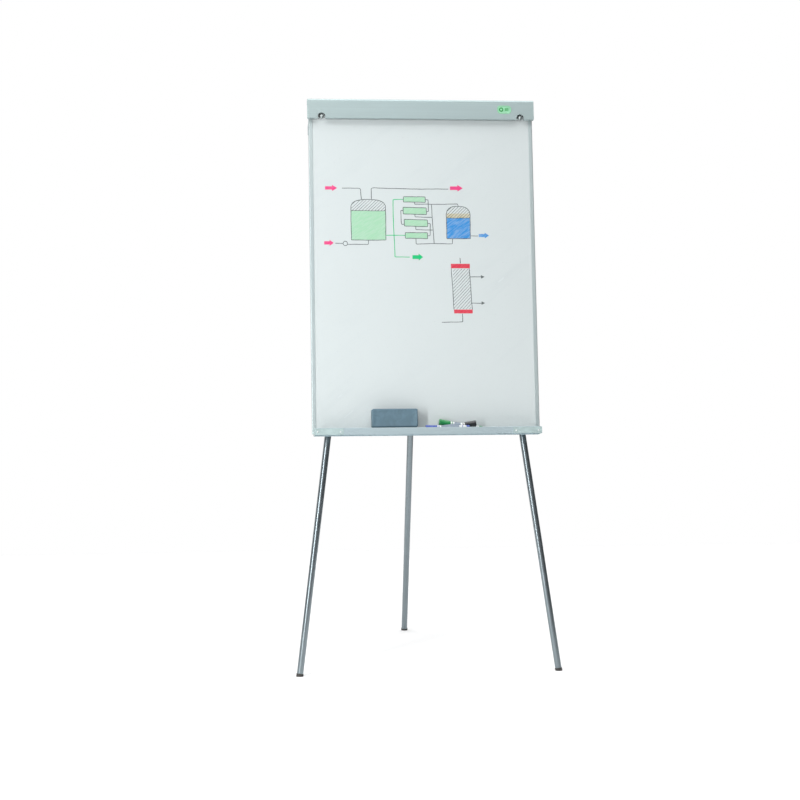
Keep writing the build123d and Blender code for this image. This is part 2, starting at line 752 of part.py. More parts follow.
# The middle of each marker's cap end, and a point that its barrel points at, in the board frame.
marker_rest = tray_floor + marker_cap_r + marker_lift
marker_front = -tray_depth + tray_wall + marker_cap_r + marker_play
marker_ways = {
    "blue": ((-8.5, marker_front, marker_rest), (125.0, marker_front, marker_rest)),
    "black": (
        (148.0, marker_front + 17.0, marker_rest + 13.0),
        (20.0, marker_front + 19.5, marker_rest + 0.6),
    ),
    "green": ((36.0, -16.0, marker_rest + 19.5), (168.0, -10.5, marker_rest + 0.5)),
}


# ---- every node, first in the board frame --------------------------------------------------
board_nodes = {
    "writing_surface": panel_layer((panel_front, panel_front + surface_thickness)),
    "panel_core": panel_layer((panel_front + surface_thickness, panel_back - back_thickness)),
    "back_sheet": panel_layer((panel_back - back_thickness, panel_back)),
    "frame_rail_left": side_rail(-1),
    "frame_rail_right": side_rail(1),
    "frame_rail_top": top_rail(),
    "frame_rail_bottom": bottom_rail(),
    "rail_plugs": rail_plugs(),
    "pad_pegs": group(both_sides(pad_peg())),
    "peg_nuts": group(both_sides(peg_nut_shape())),
    "pen_tray": pen_tray(),
    "tray_end_cap_left": mirror(tray_end_cap(), Plane.YZ),
    "tray_end_cap_right": tray_end_cap(),
    "tray_rivets": group([side for x in rivet_places() for side in both_sides(rivet(x))]),
    "frame_screws": group([screw(*place) for place in rail_screw_places + bracket_screw_places()]),
    "hinge_lugs": group([hinge_lug(x) for x in hinge_places()]),
    "clamp_springs": group(both_sides(clamp_spring())),
    "hinge_rod": rod_x(
        (min(clamp_knuckle_places()) - rod_end, max(clamp_knuckle_places()) + rod_end),
        hinge_y,
        hinge_z,
        hinge_rod_r,
    ),
    "clamp_bar": clamp_bar(),
    "clamp_end_cap_left": mirror(clamp_end_cap(), Plane.YZ),
    "clamp_end_cap_right": clamp_end_cap(),
    "grip_strip": grip_strip(),
    "badge": badge(),
    "crossbar": crossbar(),
    "leg_rivets": group(both_sides(leg_rivet())),
    "leg_saddles": group(both_sides(leg_saddle())),
    "rear_bracket": rear_bracket(),
    "rear_pivot_pin": headed_pin(rear_pivot_y, rear_pivot_z, pivot_r, pin_head_r),
    "rear_stop_pin": headed_pin(*stop_centre(), stop_pin_r, 2 * stop_pin_r),
    "eraser_block": eraser_block(),
    "eraser_felt": eraser_pad(),
}
for colour, (cap_end, toward) in marker_ways.items():
    frame = marker_frame(cap_end, toward)
    board_nodes[f"marker_{colour}_cap"] = frame * marker_cap()
    board_nodes[f"marker_{colour}_barrel"] = frame * marker_barrel()

leg_parts = {
    "knuckle": leg_knuckle(),
    "upper_tube": tube(upper_start, upper_end, upper_r, upper_wall),
    "lock_collar": lock_collar(),
    "lower_tube": tube(lower_start, lower_end, lower_r, lower_wall),
    "guide_sleeve": guide_sleeve(),
    "lock_knob": lock_knob(),
}

# ---- then standing on the floor ------------------------------------------------------------
nodes = {name: board_frame * shape for name, shape in board_nodes.items()}
for leg, leg_frame in leg_frames.items():
    for piece, shape in leg_parts.items():
        nodes[f"{leg}_{piece}"] = board_frame * leg_frame * shape
    nodes[f"{leg}_foot"] = foot(leg_frame)

boxes = [shape.bounding_box() for shape in nodes.values()]
middle_y = (min(box.min.Y for box in boxes) + max(box.max.Y for box in boxes)) / 2
to_origin = Pos(0, -middle_y, 0)

os.makedirs("parts", exist_ok=True)
for name, shape in nodes.items():
    export_step(to_origin * shape, f"parts/{name}.step")
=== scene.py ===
"""Flipchart easel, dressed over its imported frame.

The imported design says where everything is: the board's own axes come from its writing face, each
leg's from its pivot, slide and foot, and each marker's from its cap and barrel. Metal, plastic
and rubber get procedural finishes, and what a plain machined shape can't show is built here as
numpy surfaces: rubber ferrules, lock knobs and collars, tubes with a weld seam, recessed screw
heads, the eraser, the markers, and a generic flow diagram in marker ink.
"""
import json
import logging
import math
from dataclasses import dataclass, field
from enum import Enum
from typing import Mapping, Sequence, Union

import bmesh
import bpy
import numpy as np
from mathutils import Matrix

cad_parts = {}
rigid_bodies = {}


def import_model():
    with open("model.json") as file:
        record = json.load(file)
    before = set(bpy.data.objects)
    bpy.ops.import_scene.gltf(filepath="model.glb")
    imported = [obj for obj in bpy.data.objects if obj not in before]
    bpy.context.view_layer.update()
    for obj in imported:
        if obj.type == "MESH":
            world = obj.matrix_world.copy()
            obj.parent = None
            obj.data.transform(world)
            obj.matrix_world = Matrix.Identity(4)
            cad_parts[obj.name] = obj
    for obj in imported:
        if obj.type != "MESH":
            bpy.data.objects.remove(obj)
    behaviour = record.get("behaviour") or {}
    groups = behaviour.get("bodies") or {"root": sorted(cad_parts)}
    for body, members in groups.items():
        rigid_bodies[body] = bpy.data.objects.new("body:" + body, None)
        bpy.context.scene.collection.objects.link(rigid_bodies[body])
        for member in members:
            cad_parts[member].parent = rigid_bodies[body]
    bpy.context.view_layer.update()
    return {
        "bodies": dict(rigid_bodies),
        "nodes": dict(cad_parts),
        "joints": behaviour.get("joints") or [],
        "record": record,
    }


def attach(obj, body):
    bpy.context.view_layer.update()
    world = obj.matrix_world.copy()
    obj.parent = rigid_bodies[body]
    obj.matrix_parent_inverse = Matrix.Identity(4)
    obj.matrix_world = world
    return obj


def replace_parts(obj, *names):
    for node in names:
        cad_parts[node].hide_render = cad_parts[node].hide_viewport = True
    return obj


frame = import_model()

LOG = logging.getLogger("easel")
MM = 0.001
Colour = tuple[float, float, float]
Line = Sequence[tuple[float, float]]


# ---- Shader maths ----
class Signal:
    """A shader socket that can be reckoned with like a number."""

    def __init__(self, graph: "Graph", socket: bpy.types.NodeSocket) -> None:
        """Keep the socket and the graph that it belongs to."""
        self.graph = graph
        self.socket = socket

    def __add__(self, other: "Value") -> "Signal":
        """Sum of two values."""
        return self.graph.maths("ADD", self, other)

    __radd__ = __add__

    def __mul__(self, other: "Value") -> "Signal":
        """Product of two values."""
        return self.graph.maths("MULTIPLY", self, other)

    __rmul__ = __mul__

    def __sub__(self, other: "Value") -> "Signal":
        """Difference of two values."""
        return self.graph.maths("SUBTRACT", self, other)

    def __rsub__(self, other: "Value") -> "Signal":
        """Difference, the other way round."""
        return self.graph.maths("SUBTRACT", other, self)

    def part(self, axis: str) -> "Signal":
        """The X, Y or Z of a vector."""
        return self.graph.node("ShaderNodeSeparateXYZ", None, {0: self}, output=axis)

    def step(self, low: float, high: float) -> "Signal":
        """Smooth step from 0 at low to 1 at high.

        Args:
            low: value where the step begins.
            high: value where it ends; a smaller one than low makes a falling step.

        Returns:
            The stepped value.
        """
        return self.graph.node(
            "ShaderNodeMapRange",
            {"interpolation_type": "SMOOTHSTEP"},
            {"Value": self, "From Min": low, "From Max": high},
        )


Value = Union[Signal, float]


class Graph:
    """A node tree that is written as expressions."""

    def __init__(self, tree: bpy.types.NodeTree) -> None:
        """Start from an empty tree."""
        self.tree = tree
        self.tree.nodes.clear()

    def node(
        self,
        kind: str,
        settings: Mapping[str, object] | None = None,
        inputs: Mapping[str | int, object] | None = None,
        output: str | int = 0,
    ) -> Signal:
        """Make any node.

        Args:
            kind: the node's type.
            settings: its properties, set first.
            inputs: values or signals for its sockets, by name or number.
            output: which output to return.

        Returns:
            The chosen output.
        """
        made = self.tree.nodes.new(kind)
        for key, value in (settings or {}).items():
            setattr(made, key, value)
        for key, value in (inputs or {}).items():
            if isinstance(value, Signal):
                self.tree.links.new(value.socket, made.inputs[key])
            else:
                made.inputs[key].default_value = value
        return Signal(self, made.outputs[output])

    def maths(self, operation: str, first: Value, second: Value) -> Signal:
        """One Math node."""
        return self.node("ShaderNodeMath", {"operation": operation}, {0: first, 1: second})

    def blend(self, share: Value, first: object, second: object) -> Signal:
        """Mix two colours.

        Args:
            share: how much of the second colour shows, from 0 to 1.
            first: a colour or a signal.
            second: a colour or a signal.

        Returns:
            The mixed colour.
        """
        ends = [(*c, 1.0) if isinstance(c, tuple) else c for c in (first, second)]
        return self.node("ShaderNodeMix", {"data_type": "RGBA"}, {0: share, 6: ends[0], 7: ends[1]}, 2)

    def place(self, turn: Colour = (0.0, 0.0, 0.0), scale: Colour = (1.0, 1.0, 1.0)) -> Signal:
        """Object coordinates, turned and then scaled along each axis.

        Args:
            turn: turn about X, Y and Z, in radians.
            scale: factor along each turned axis.

        Returns:
            The coordinates.
        """
        here = self.node("ShaderNodeTexCoord", output="Object")
        turned = self.node("ShaderNodeMapping", None, {"Vector": here, "Rotation": turn})
        return self.node("ShaderNodeVectorMath", {"operation": "MULTIPLY"}, {0: turned, 1: scale})

    def skin(self, scale: Colour) -> Signal:
        """A new piece's own map, in metres along and around it, scaled."""
        chart = self.node("ShaderNodeUVMap", {"uv_map": Shell.CHART})
        return self.node("ShaderNodeVectorMath", {"operation": "MULTIPLY"}, {0: chart, 1: scale})

    def noise(self, at: Signal, scale: float = 1.0, detail: float = 2.0, twist: float = 0.0) -> Signal:
        """Smooth noise about 0.5.

        Args:
            at: the coordinates.
            scale: noise cells to a unit of the coordinates.
            detail: octaves of finer noise.
            twist: how much the noise bends itself.

        Returns:
            The noise's value.
        """
        inputs = {"Vector": at, "Scale": scale, "Detail": detail, "Distortion": twist}
        return self.node("ShaderNodeTexNoise", None, inputs)

    def bump(self, height: Signal, depth: float) -> Signal:
        """Normal of a surface raised by a height.

        Args:
            height: 0 to 1.
            depth: what a height of 1 measures, in metres.

        Returns:
            The normal.
        """
        return self.node("ShaderNodeBump", None, {"Height": height, "Distance": depth, "Strength": 1.0})

    def surface(self, **inputs: object) -> None:
        """Finish with a Principled shader; names have underscores for spaces."""
        named = {key.replace("_", " "): value for key, value in inputs.items()}
        self.end("ShaderNodeOutputMaterial", self.node("ShaderNodeBsdfPrincipled", None, named))

    def end(self, kind: str, shader: Signal) -> None:
        """Join a shader to an output node."""
        self.tree.links.new(shader.socket, self.tree.nodes.new(kind).inputs["Surface"])


# ---- Places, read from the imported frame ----
@dataclass(frozen=True)
class Axes:
    """Right-handed axes that a piece is drawn in, in millimetres.

    Args:
        origin: where zero is, in metres.
        basis: the X, Y and Z directions, as the rows of an array.
    """

    origin: np.ndarray
    basis: np.ndarray

    @classmethod
    def facing(cls, origin: Sequence[float], z: Sequence[float], x: Sequence[float]) -> "Axes":
        """Axes with a given Z, and an X as near as it can be to the one wished for.

        Args:
            origin: where zero is, in metres.
            z: direction of Z.
            x: rough direction of X, made square to Z.

        Returns:
            The axes; Y is Z crossed with X.
        """
        up = np.asarray(z, float) / np.linalg.norm(z)
        side = np.cross(up, x)
        side = side / np.linalg.norm(side)
        return cls(np.asarray(origin, float), np.array([np.cross(side, up), side, up]))

    def world(self, local: np.ndarray) -> np.ndarray:
        """Points of these axes as places in the scene."""
        return self.origin + MM * np.asarray(local, float) @ self.basis

    def local(self, world: np.ndarray) -> np.ndarray:
        """Places in the scene as points of these axes."""
        return (np.asarray(world, float) - self.origin) @ self.basis.T / MM

    def at(self, x: float, y: float, z: float) -> "Axes":
        """The same directions from another origin."""
        return Axes(self.world(np.array([x, y, z])), self.basis)

    def matrix(self) -> Matrix:
        """The matrix that places an object on these axes."""
        whole = np.eye(4)
        whole[:3, :3] = self.basis.T
        whole[:3, 3] = self.origin
        return Matrix(whole.tolist())


class Layout:
    """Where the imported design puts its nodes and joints."""

    def __init__(self, loaded: Mapping[str, object]) -> None:
        """Read the joints, and find the board's own axes.
        """
        self.nodes = loaded["nodes"]
        self.joints = {joint["name"]: joint for joint in loaded["joints"]}
        outward = np.array(self.joints["front_left_fold"]["axis"])
        upright = Axes.facing((0.0, 0.0, 0.0), outward, (1.0, 0.0, 0.0))
        tray = upright.local(self.vertices("pen_tray"))
        writing = upright.local(self.vertices("writing_surface"))
        self.lean = math.asin(outward[2])
        self.board = upright.at(0.0, tray[:, 1].min(), tray[:, 2].min())
        self.face = upright.at(0.0, tray[:, 1].min(), writing[:, 2].max())

    def vertices(self, node: str) -> np.ndarray:
        """Places of a node's vertices, one to a row."""
        mesh = self.nodes[node].data
        flat = np.empty(3 * len(mesh.vertices), np.float32)
        mesh.vertices.foreach_get("co", flat)
        return flat.reshape(-1, 3).astype(float)

    def span(self, node: str, axes: Axes) -> tuple[np.ndarray, np.ndarray]:
        """A node's lowest and highest corner along some axes, in millimetres."""
        points = axes.local(self.vertices(node))
        return points.min(0), points.max(0)

    def seat(self, node: str, axes: Axes) -> tuple[Axes, np.ndarray]:
        """Axes at the middle of a node's lowest face along Z, and the node's three sizes."""
        low, high = self.span(node, axes)
        return axes.at((low[0] + high[0]) / 2, (low[1] + high[1]) / 2, low[2]), high - low

    def distances(self, node: str, axes: Axes) -> np.ndarray:
        """How far each vertex of a node is from the axes' Z, in millimetres."""
        return np.hypot(*axes.local(self.vertices(node)).T[:2])

    def radius(self, node: str, axes: Axes) -> float:
        """How far a node reaches from the axes' Z, in millimetres."""
        return float(self.distances(node, axes).max())

    def clusters(self, node: str, axes: Axes, reach: float) -> list[tuple[np.ndarray, np.ndarray]]:
        """Split a node of small separate solids.

        Args:
            node: the node.
            axes: axes whose X and Y tell the solids apart.
            reach: solids are narrower than this and farther apart, in millimetres.

        Returns:
            The lowest and highest corner of each solid.
        """
        points = axes.local(self.vertices(node))
        found = []
        while len(points):
            near = np.hypot(*(points - points[0]).T[:2]) < reach
            found.append((points[near].min(0), points[near].max(0)))
            points = points[~near]
        return found


# ---- Surfaces ----
def rounded(corners: Sequence[tuple[float, float, float]], closed: bool = False) -> np.ndarray:
    """A line through corners, each rounded off.

    A corner B with cut r gives the curve (1-t)²A + 2t(1-t)B + t²C, where A and C lie r from B
    towards its neighbours.

    Args:
        corners: two coordinates and the cut of each corner.
        closed: True joins the last corner to the first.

    Returns:
        The line's points; a closed line ends with its first point again.
    """
    spots = np.array(corners, float)
    line = []
    share = np.linspace(0.0, 1.0, 4)[:, None]
    for index, (here, cut) in enumerate(zip(spots[:, :2], spots[:, 2])):
        ends = (not closed) and index in (0, len(spots) - 1)
        if ends or cut == 0.0:
            line.append(here[None])
            continue
        before, after = (spots[(index + step) % len(spots), :2] - here for step in (-1, 1))
        start = here + before * cut / np.linalg.norm(before)
        stop = here + after * cut / np.linalg.norm(after)
        line.append((1 - share) ** 2 * start + 2 * share * (1 - share) * here + share**2 * stop)
    joined = np.concatenate(line)
    return np.concatenate([joined, joined[:1]]) if closed else joined


def oblong(width: np.ndarray, height: np.ndarray, corner: np.ndarray, steps: int = 6) -> np.ndarray:
    """Rounded rectangles about zero.

    Each corner's centre is (half width - r, half height - r), and its points stand r away at
    angles that sweep a quarter turn.

    Args:
        width: each rectangle's full width.
        height: each rectangle's full height.
        corner: each rectangle's corner radius.
        steps: points to a corner, less one.

    Returns:
        Outlines, as rectangles by points by two, closed by their first point.
    """
    angle = (np.arange(4)[:, None] * 90.0 + np.linspace(0.0, 90.0, steps + 1)).ravel()
    angle = np.radians(np.append(angle, 0.0))
    signs = np.array([(1, 1), (-1, 1), (-1, -1), (1, -1)], float)
    signs = np.concatenate([np.repeat(signs, steps + 1, axis=0), signs[:1]])
    half = np.stack([width, height], 1)[:, None, :] / 2
    radius = np.asarray(corner, float)[:, None, None]
    round_part = np.stack([np.cos(angle), np.sin(angle)], 1)
    return signs * (half - radius) + radius * round_part


def grooves(
    start: float, wide: float, pitch: float, steps: Sequence[float], depth: float, cut: float
) -> list[tuple[float, float, float]]:
    """Three grooves in the wall of a turned piece, as corners for rounded().

    Args:
        start: height of the first groove's near edge.
        wide: the wall's radius.
        pitch: distance from groove to groove.
        steps: a groove's four corners, along the wall from its near edge.
        depth: how deep the grooves are.
        cut: the cut of each corner.

    Returns:
        The corners.
    """
    return [
        (start + pitch * groove + step, wide - sunk, cut)
        for groove in range(3)
        for step, sunk in zip(steps, (0.0, depth, depth, 0.0))
    ]


class Shell:
    """A closed mesh gathered from grids of points, each with a map in metres."""

    CHART = "metres"

    def __init__(self, axes: Axes) -> None:
        """Start an empty shell that is drawn in some axes."""
        self.axes = axes
        self.points: list[np.ndarray] = []
        self.faces: list[np.ndarray] = []
        self.charts: list[np.ndarray] = []
        self.coats: list[np.ndarray] = []
        self.count = 0

    def grid(self, points: np.ndarray, coat: int = 0) -> "Shell":
        """Add a surface given as a function of two parameters on a grid.

        The map is the mean running length along the rows and along the columns.

        Args:
            points: rows by columns by three, in the shell's axes.
            coat: which of the piece's materials it wears.

        Returns:
            The shell.
        """
        rows, columns = points.shape[:2]
        order = np.arange(rows * columns).reshape(rows, columns)
        quads = np.stack([order[:-1, :-1], order[1:, :-1], order[1:, 1:], order[:-1, 1:]], -1)
        along = np.linalg.norm(np.diff(points, axis=0), axis=2).mean(1)
        around = np.linalg.norm(np.diff(points, axis=1), axis=2).max(0)
        run = [np.append(0.0, lengths.cumsum()) for lengths in (along, around)]
        chart = np.meshgrid(*run, indexing="ij")
        self.points.append(self.axes.world(points.reshape(-1, 3)))
        self.charts.append(MM * np.stack(chart, -1).reshape(-1, 2))
        self.faces.append(quads.reshape(-1, 4) + self.count)
        self.coats.append(np.full((rows - 1) * (columns - 1), coat, np.int32))
        self.count += rows * columns
        return self

    def raised(self, flat: np.ndarray, height: np.ndarray, coat: int) -> "Shell":
        """Add a grid of X and Y, and a height that is spread over it."""
        return self.grid(np.concatenate([flat, height + 0.0 * flat[..., :1]], -1), coat)

    def spun(
        self,
        profile: np.ndarray,
        turns: int = 48,
        coat: int = 0,
        lobes: int = 0,
        depth: Union[float, np.ndarray] = 0.0,
    ) -> "Shell":
        """Add a profile turned about Z.

        A point at height s and radius r goes to (k r cos a, k r sin a, s), where
        k = 1 + depth cos(lobes a).

        Args:
            profile: rows of height and radius.
            turns: steps round.
            coat: which of the piece's materials it wears.
            lobes: number of lobes round, or 0 for a plain round.
            depth: how far the lobes stand out, as a share of the radius, for all rows or each.

        Returns:
            The shell.
        """
        angle = np.linspace(0.0, 2.0 * np.pi, turns + 1)[None, :]
        height, radius = profile[:, :1], profile[:, 1:2]
        depth = np.asarray(depth, float).reshape(-1, 1)
        radius = radius * (1.0 + depth * np.cos(lobes * angle))
        flat = (radius * np.cos(angle), radius * np.sin(angle), height + 0.0 * angle)
        return self.grid(np.stack(flat, -1), coat)

    def stacked(self, outlines: np.ndarray, heights: np.ndarray, coat: int = 0) -> "Shell":
        """Add outlines stacked along Z, closed at both ends onto their middles.

        Args:
            outlines: sections by points by two.
            heights: each section's height.
            coat: which of the piece's materials it wears.

        Returns:
            The shell.
        """
        middle = outlines.mean(1, keepdims=True) + 0.0 * outlines
        flat = np.concatenate([middle[:1], outlines, middle[-1:]])
        tall = np.concatenate([heights[:1], heights, heights[-1:]])[:, None, None]
        return self.raised(flat, tall, coat)

    def stroke(self, line: Line, width: float, coat: int = 0, height: float = 0.12) -> "Shell":
        """Add a stroke of ink along a line on the board.

        The line is walked at even steps; its hand wobble is a sum of two sines of the length
        walked. The section is a low arch, its width falling to nothing over half a width at
        both ends as the side of a circle does.

        Args:
            line: corners of the line, in the face's X and Y.
            width: width of the stroke.
            coat: which of the piece's materials it wears.
            height: how far the ink stands off the face.

        Returns:
            The shell.
        """
        spots = np.array(line, float)
        walked = np.append(0.0, np.linalg.norm(np.diff(spots, axis=0), axis=1).cumsum())
        tips = width * np.array([0.0, 0.03, 0.12, 0.28, 0.5])
        length = walked[-1]
        middle = np.linspace(tips[-1], length - tips[-1], max(3, int(length / 2.5)))[1:-1]
        place = np.concatenate([tips, middle, length - tips[::-1]])
        path = np.stack([np.interp(place, walked, spots[:, k]) for k in (0, 1)], 1)
        way = np.gradient(path, axis=0)
        way = way / np.maximum(np.linalg.norm(way, axis=1, keepdims=True), 1e-9)
        side = np.stack([-way[:, 1], way[:, 0]], 1)
        phase = spots.sum() % 7.0
        wobble = 0.35 * np.sin(place / 17.0 + phase) + 0.16 * np.sin(place / 5.3 + 2.0 * phase)
        path = path + wobble[:, None] * side
        edge = np.clip(np.minimum(place, length - place) / tips[-1], 0.0, 1.0)
        half = width / 2 * np.sqrt(1.0 - (1.0 - edge) ** 2)
        half = half * (1.0 + 0.08 * np.sin(place / 9.0 + phase))
        across = np.array([-1.0, -0.8, 0.0, 0.8, 1.0, 0.0, -1.0])
        rise = height * np.array([-0.4, 0.85, 1.0, 0.85, -0.4, -0.5, -0.4])
        flat = path[:, None, :] + half[:, None, None] * across[None, :, None] * side[:, None, :]
        return self.raised(flat, rise[None, :, None], coat)

    def wash(self, lower: Line, upper: Line, coat: int = 0, height: float = 0.05) -> "Shell":
        """Add a filled area between two lines, as a thin slab on the board.

        Args:
            lower: one edge, in the face's X and Y.
            upper: the other edge, with as many points.
            coat: which of the piece's materials it wears.
            height: how far it stands off the face.

        Returns:
            The shell.
        """
        low, high = np.array(lower, float), np.array(upper, float)
        middle = (low + high) / 2
        loops = np.stack([low, low, high, high, low], 1)
        rise = height * np.array([-0.6, 1.0, 1.0, -0.6, -0.6])
        ends = [point[None, None] + 0.0 * loops[:1] for point in (middle[0], middle[-1])]
        return self.raised(np.concatenate([ends[0], loops, ends[1]]), rise[None, :, None], coat)

    def cut_level(self) -> "Shell":
        """Slide what is below the floor back up the shell's own Z, onto the floor."""
        down = self.axes.basis[2]
        for points in self.points:
            below = np.minimum(points[:, 2], 0.0) / down[2]
            points -= below[:, None] * down
        return self

    def build(
        self, name: str, coats: Sequence[str], body: str, slot: str, sharp: float = 32.0
    ) -> bpy.types.Object:
        """Make the object, its place in its mesh.

        Args:
            name: the piece's name.
            coats: its finishes' names in the palette.
            body: the CAD body that it rides on.
            slot: the name of a material slot in the record; not used.
            sharp: edges turned by more than this stay crisp, in degrees.

        Returns:
            The object.
        """
        faces = np.concatenate(self.faces)
        mesh = bpy.data.meshes.new(name)
        mesh.from_pydata(np.concatenate(self.points).tolist(), [], faces.tolist())
        chart = mesh.uv_layers.new(name=self.CHART)
        corners = np.empty(len(mesh.loops), np.int32)
        mesh.loops.foreach_get("vertex_index", corners)
        chart.data.foreach_set("uv", np.concatenate(self.charts)[corners].ravel())
        mesh.polygons.foreach_set("material_index", np.concatenate(self.coats))
        for coat in coats:
            mesh.materials.append(PALETTE[coat].material())
        work = bmesh.new()
        work.from_mesh(mesh)
        bmesh.ops.remove_doubles(work, verts=work.verts, dist=2e-6)
        bmesh.ops.dissolve_degenerate(work, edges=work.edges, dist=1e-7)
        bmesh.ops.recalc_face_normals(work, faces=work.faces)
        work.to_mesh(mesh)
        work.free()
        mesh.shade_smooth()
        mesh.set_sharp_from_angle(angle=math.radians(sharp))
        made = bpy.data.objects.new(name, mesh)
        bpy.context.scene.collection.objects.link(made)
        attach(made, body)
        return made


# ---- Finishes ----
def toned(colour: Colour, *shares: float) -> Colour:
    """A colour with each part, or all parts, times a share."""
    shares = shares * 3 if len(shares) == 1 else shares
    return tuple(part * share for part, share in zip(colour, shares))


@dataclass(frozen=True)
class Finish:
    """A procedural finish.

    Args:
        title: the material's name.
        colour: the colour that it starts from.
    """

    title: str
    colour: Colour

    def material(self) -> bpy.types.Material:
        """The finish as a material, made the first time it is asked for."""
        made = bpy.data.materials.get(self.title)
        if made is None:
            made = bpy.data.materials.new(self.title)
            made.use_nodes = True
            self.draw(Graph(made.node_tree))
            made.diffuse_color = (*self.colour, 1.0)
        return made

    def draw(self, graph: Graph) -> None:
        """Write the finish's nodes."""
        raise NotImplementedError


class Grain(Enum):
    """Which way a drawn metal's lines run."""

    ALONG_RAIL = "x"
    UP_BOARD = "z"

    def lines(self, graph: Graph, lean: float) -> Signal:
        """Coordinates stretched along the grain.

        Args:
            graph: the material's graph.
            lean: the board's lean, in radians.

        Returns:
            Coordinates with few cells along the grain and many across it.
        """
        if self is Grain.ALONG_RAIL:
            return graph.place(scale=(2.5, 1300.0, 1300.0))
        return graph.place(turn=(lean, 0.0, 0.0), scale=(1300.0, 1300.0, 2.5))


@dataclass(frozen=True)
class Enamel(Finish):
    """Vitreous enamel on steel: glossy, a little rippled, wiped many times."""

    def draw(self, graph: Graph) -> None:
        """Long wiped arcs dull the gloss; grey dust of old ink gathers in them."""
        at = graph.place()
        swipe = graph.place(turn=(0.0, 0.62, 0.0), scale=(2.2, 1.0, 15.0))
        film = graph.noise(swipe, 1.6, 4.0, 0.7).step(0.5, 0.74)
        patch = graph.noise(at, 2.3, 2.0).step(0.4, 0.65)
        specks = graph.noise(at, 620.0, 0.0).step(0.80, 0.83)
        colour = graph.blend(film * patch * 0.55, self.colour, toned(self.colour, 0.93, 0.94, 0.95))
        colour = graph.blend(specks * 0.35, colour, toned(self.colour, 0.45))
        ripple = graph.bump(graph.noise(at, 230.0, 1.0), 0.00002)
        graph.surface(
            Base_Color=colour,
            Roughness=film * patch * 0.16 + 0.15,
            Coat_Weight=0.35,
            Coat_Roughness=0.06,
            Normal=ripple,
        )


@dataclass(frozen=True)
class Extrusion(Finish):
    """Drawn and anodised aluminium.

    Args:
        grain: which way its die lines run.
        lean: the board's lean, in radians.
        rough: how dull it is.
        metal: how metallic it is.
        dust: how much dust lies on its top faces.
    """

    grain: Grain = Grain.ALONG_RAIL
    lean: float = 0.0
    rough: float = 0.36
    metal: float = 0.75
    dust: float = 0.3

    def draw(self, graph: Graph) -> None:
        """Die lines, a broad drift of tone, finger marks, small nicks and dust on top."""
        at = graph.place()
        lines = graph.noise(self.grain.lines(graph, self.lean), 1.0, 2.0)
        drift = graph.noise(at, 3.0, 2.0)
        marks = graph.noise(at, 55.0, 3.0, 0.6).step(0.52, 0.7) * graph.noise(at, 9.0).step(0.5, 0.62)
        nicks = graph.noise(at, 410.0, 1.0).step(0.76, 0.8)
        level = graph.node("ShaderNodeNewGeometry", output="Normal").part("Z").step(0.75, 0.97)
        dust = level * graph.noise(at, 140.0, 4.0).step(0.4, 0.62) * self.dust
        colour = graph.blend(lines.step(0.3, 0.7), toned(self.colour, 0.93), toned(self.colour, 1.05))
        colour = graph.blend(drift.step(0.35, 0.65) * 0.5, colour, toned(self.colour, 0.95, 0.97, 1.0))
        colour = graph.blend(nicks * 0.5, colour, toned(self.colour, 1.35))
        colour = graph.blend(dust, colour, (0.42, 0.41, 0.39))
        graph.surface(
            Base_Color=colour,
            Metallic=(1.0 - dust) * self.metal,
            Roughness=lines * 0.12 + (self.rough - 0.06) + marks * 0.12 + dust * 0.4,
            Normal=graph.bump(lines + nicks * -0.6, 0.000012),
        )


@dataclass(frozen=True)
class SteelTube(Finish):
    """Plated steel tube, drawn along its length, with a faint weld seam."""

    def draw(self, graph: Graph) -> None:
        """Draw lines along the tube, cloudy plating, rubbed rings, and the seam down one side."""
        at = graph.place()
        lines = graph.noise(graph.skin((3.0, 1500.0, 1.0)), 1.0, 2.0)
        rings = graph.noise(graph.skin((420.0, 2.0, 1.0)), 1.0, 1.0).step(0.55, 0.75)
        cloud = graph.noise(at, 26.0, 3.0, 0.4)
        seam = graph.skin((1.0, 1.0, 1.0)).part("Y").step(0.0011, 0.0004)
        colour = graph.blend(cloud.step(0.35, 0.7), toned(self.colour, 0.94), self.colour)
        colour = graph.blend(rings * 0.1, colour, toned(self.colour, 1.2))
        colour = graph.blend(seam * 0.4, colour, toned(self.colour, 0.62))
        graph.surface(
            Base_Color=colour,
            Metallic=0.92,
            Roughness=lines * 0.04 + 0.26 + cloud.step(0.45, 0.75) * 0.05 + seam * 0.15,
            Normal=graph.bump(lines * 0.6 + seam * -10.0, 0.000003),
        )


@dataclass(frozen=True)
class Moulded(Finish):
    """Moulded plastic or rubber with a spark-eroded grain.

    Args:
        rough: how dull it is.
        grain: depth of the grain, in metres.
        soiled: how much pale dust has gathered near the floor.
        gloss: weight of a clear coat.
    """

    rough: float = 0.5
    grain: float = 0.00002
    soiled: float = 0.0
    gloss: float = 0.0

    def draw(self, graph: Graph) -> None:
        """Even colour with slow flow marks, fine grain, scuffs that shine, and dust low down."""
        at = graph.place()
        flow = graph.noise(at, 38.0, 3.0, 1.1)
        grain = graph.noise(at, 2600.0, 2.0)
        scuff = graph.noise(graph.place(turn=(0.3, 0.5, 0.2), scale=(1.0, 1.0, 9.0)), 90.0, 3.0)
        scuff = scuff.step(0.66, 0.74)
        colour = graph.blend(flow.step(0.3, 0.7), toned(self.colour, 0.9), toned(self.colour, 1.08))
        colour = graph.blend(scuff * 0.3, colour, toned(self.colour, 1.7))
        rough = flow * 0.08 + (self.rough - 0.04) + scuff * -0.1
        if self.soiled:
            dust = at.part("Z").step(0.022, 0.0) * graph.noise(at, 700.0, 4.0).step(0.4, 0.7) * self.soiled
            colour = graph.blend(dust, colour, (0.23, 0.21, 0.19))
            rough = rough + dust * 0.3
        graph.surface(
            Base_Color=colour,
            Roughness=rough,
            Coat_Weight=self.gloss,
            Coat_Roughness=0.12,
            Normal=graph.bump(grain, self.grain),
        )


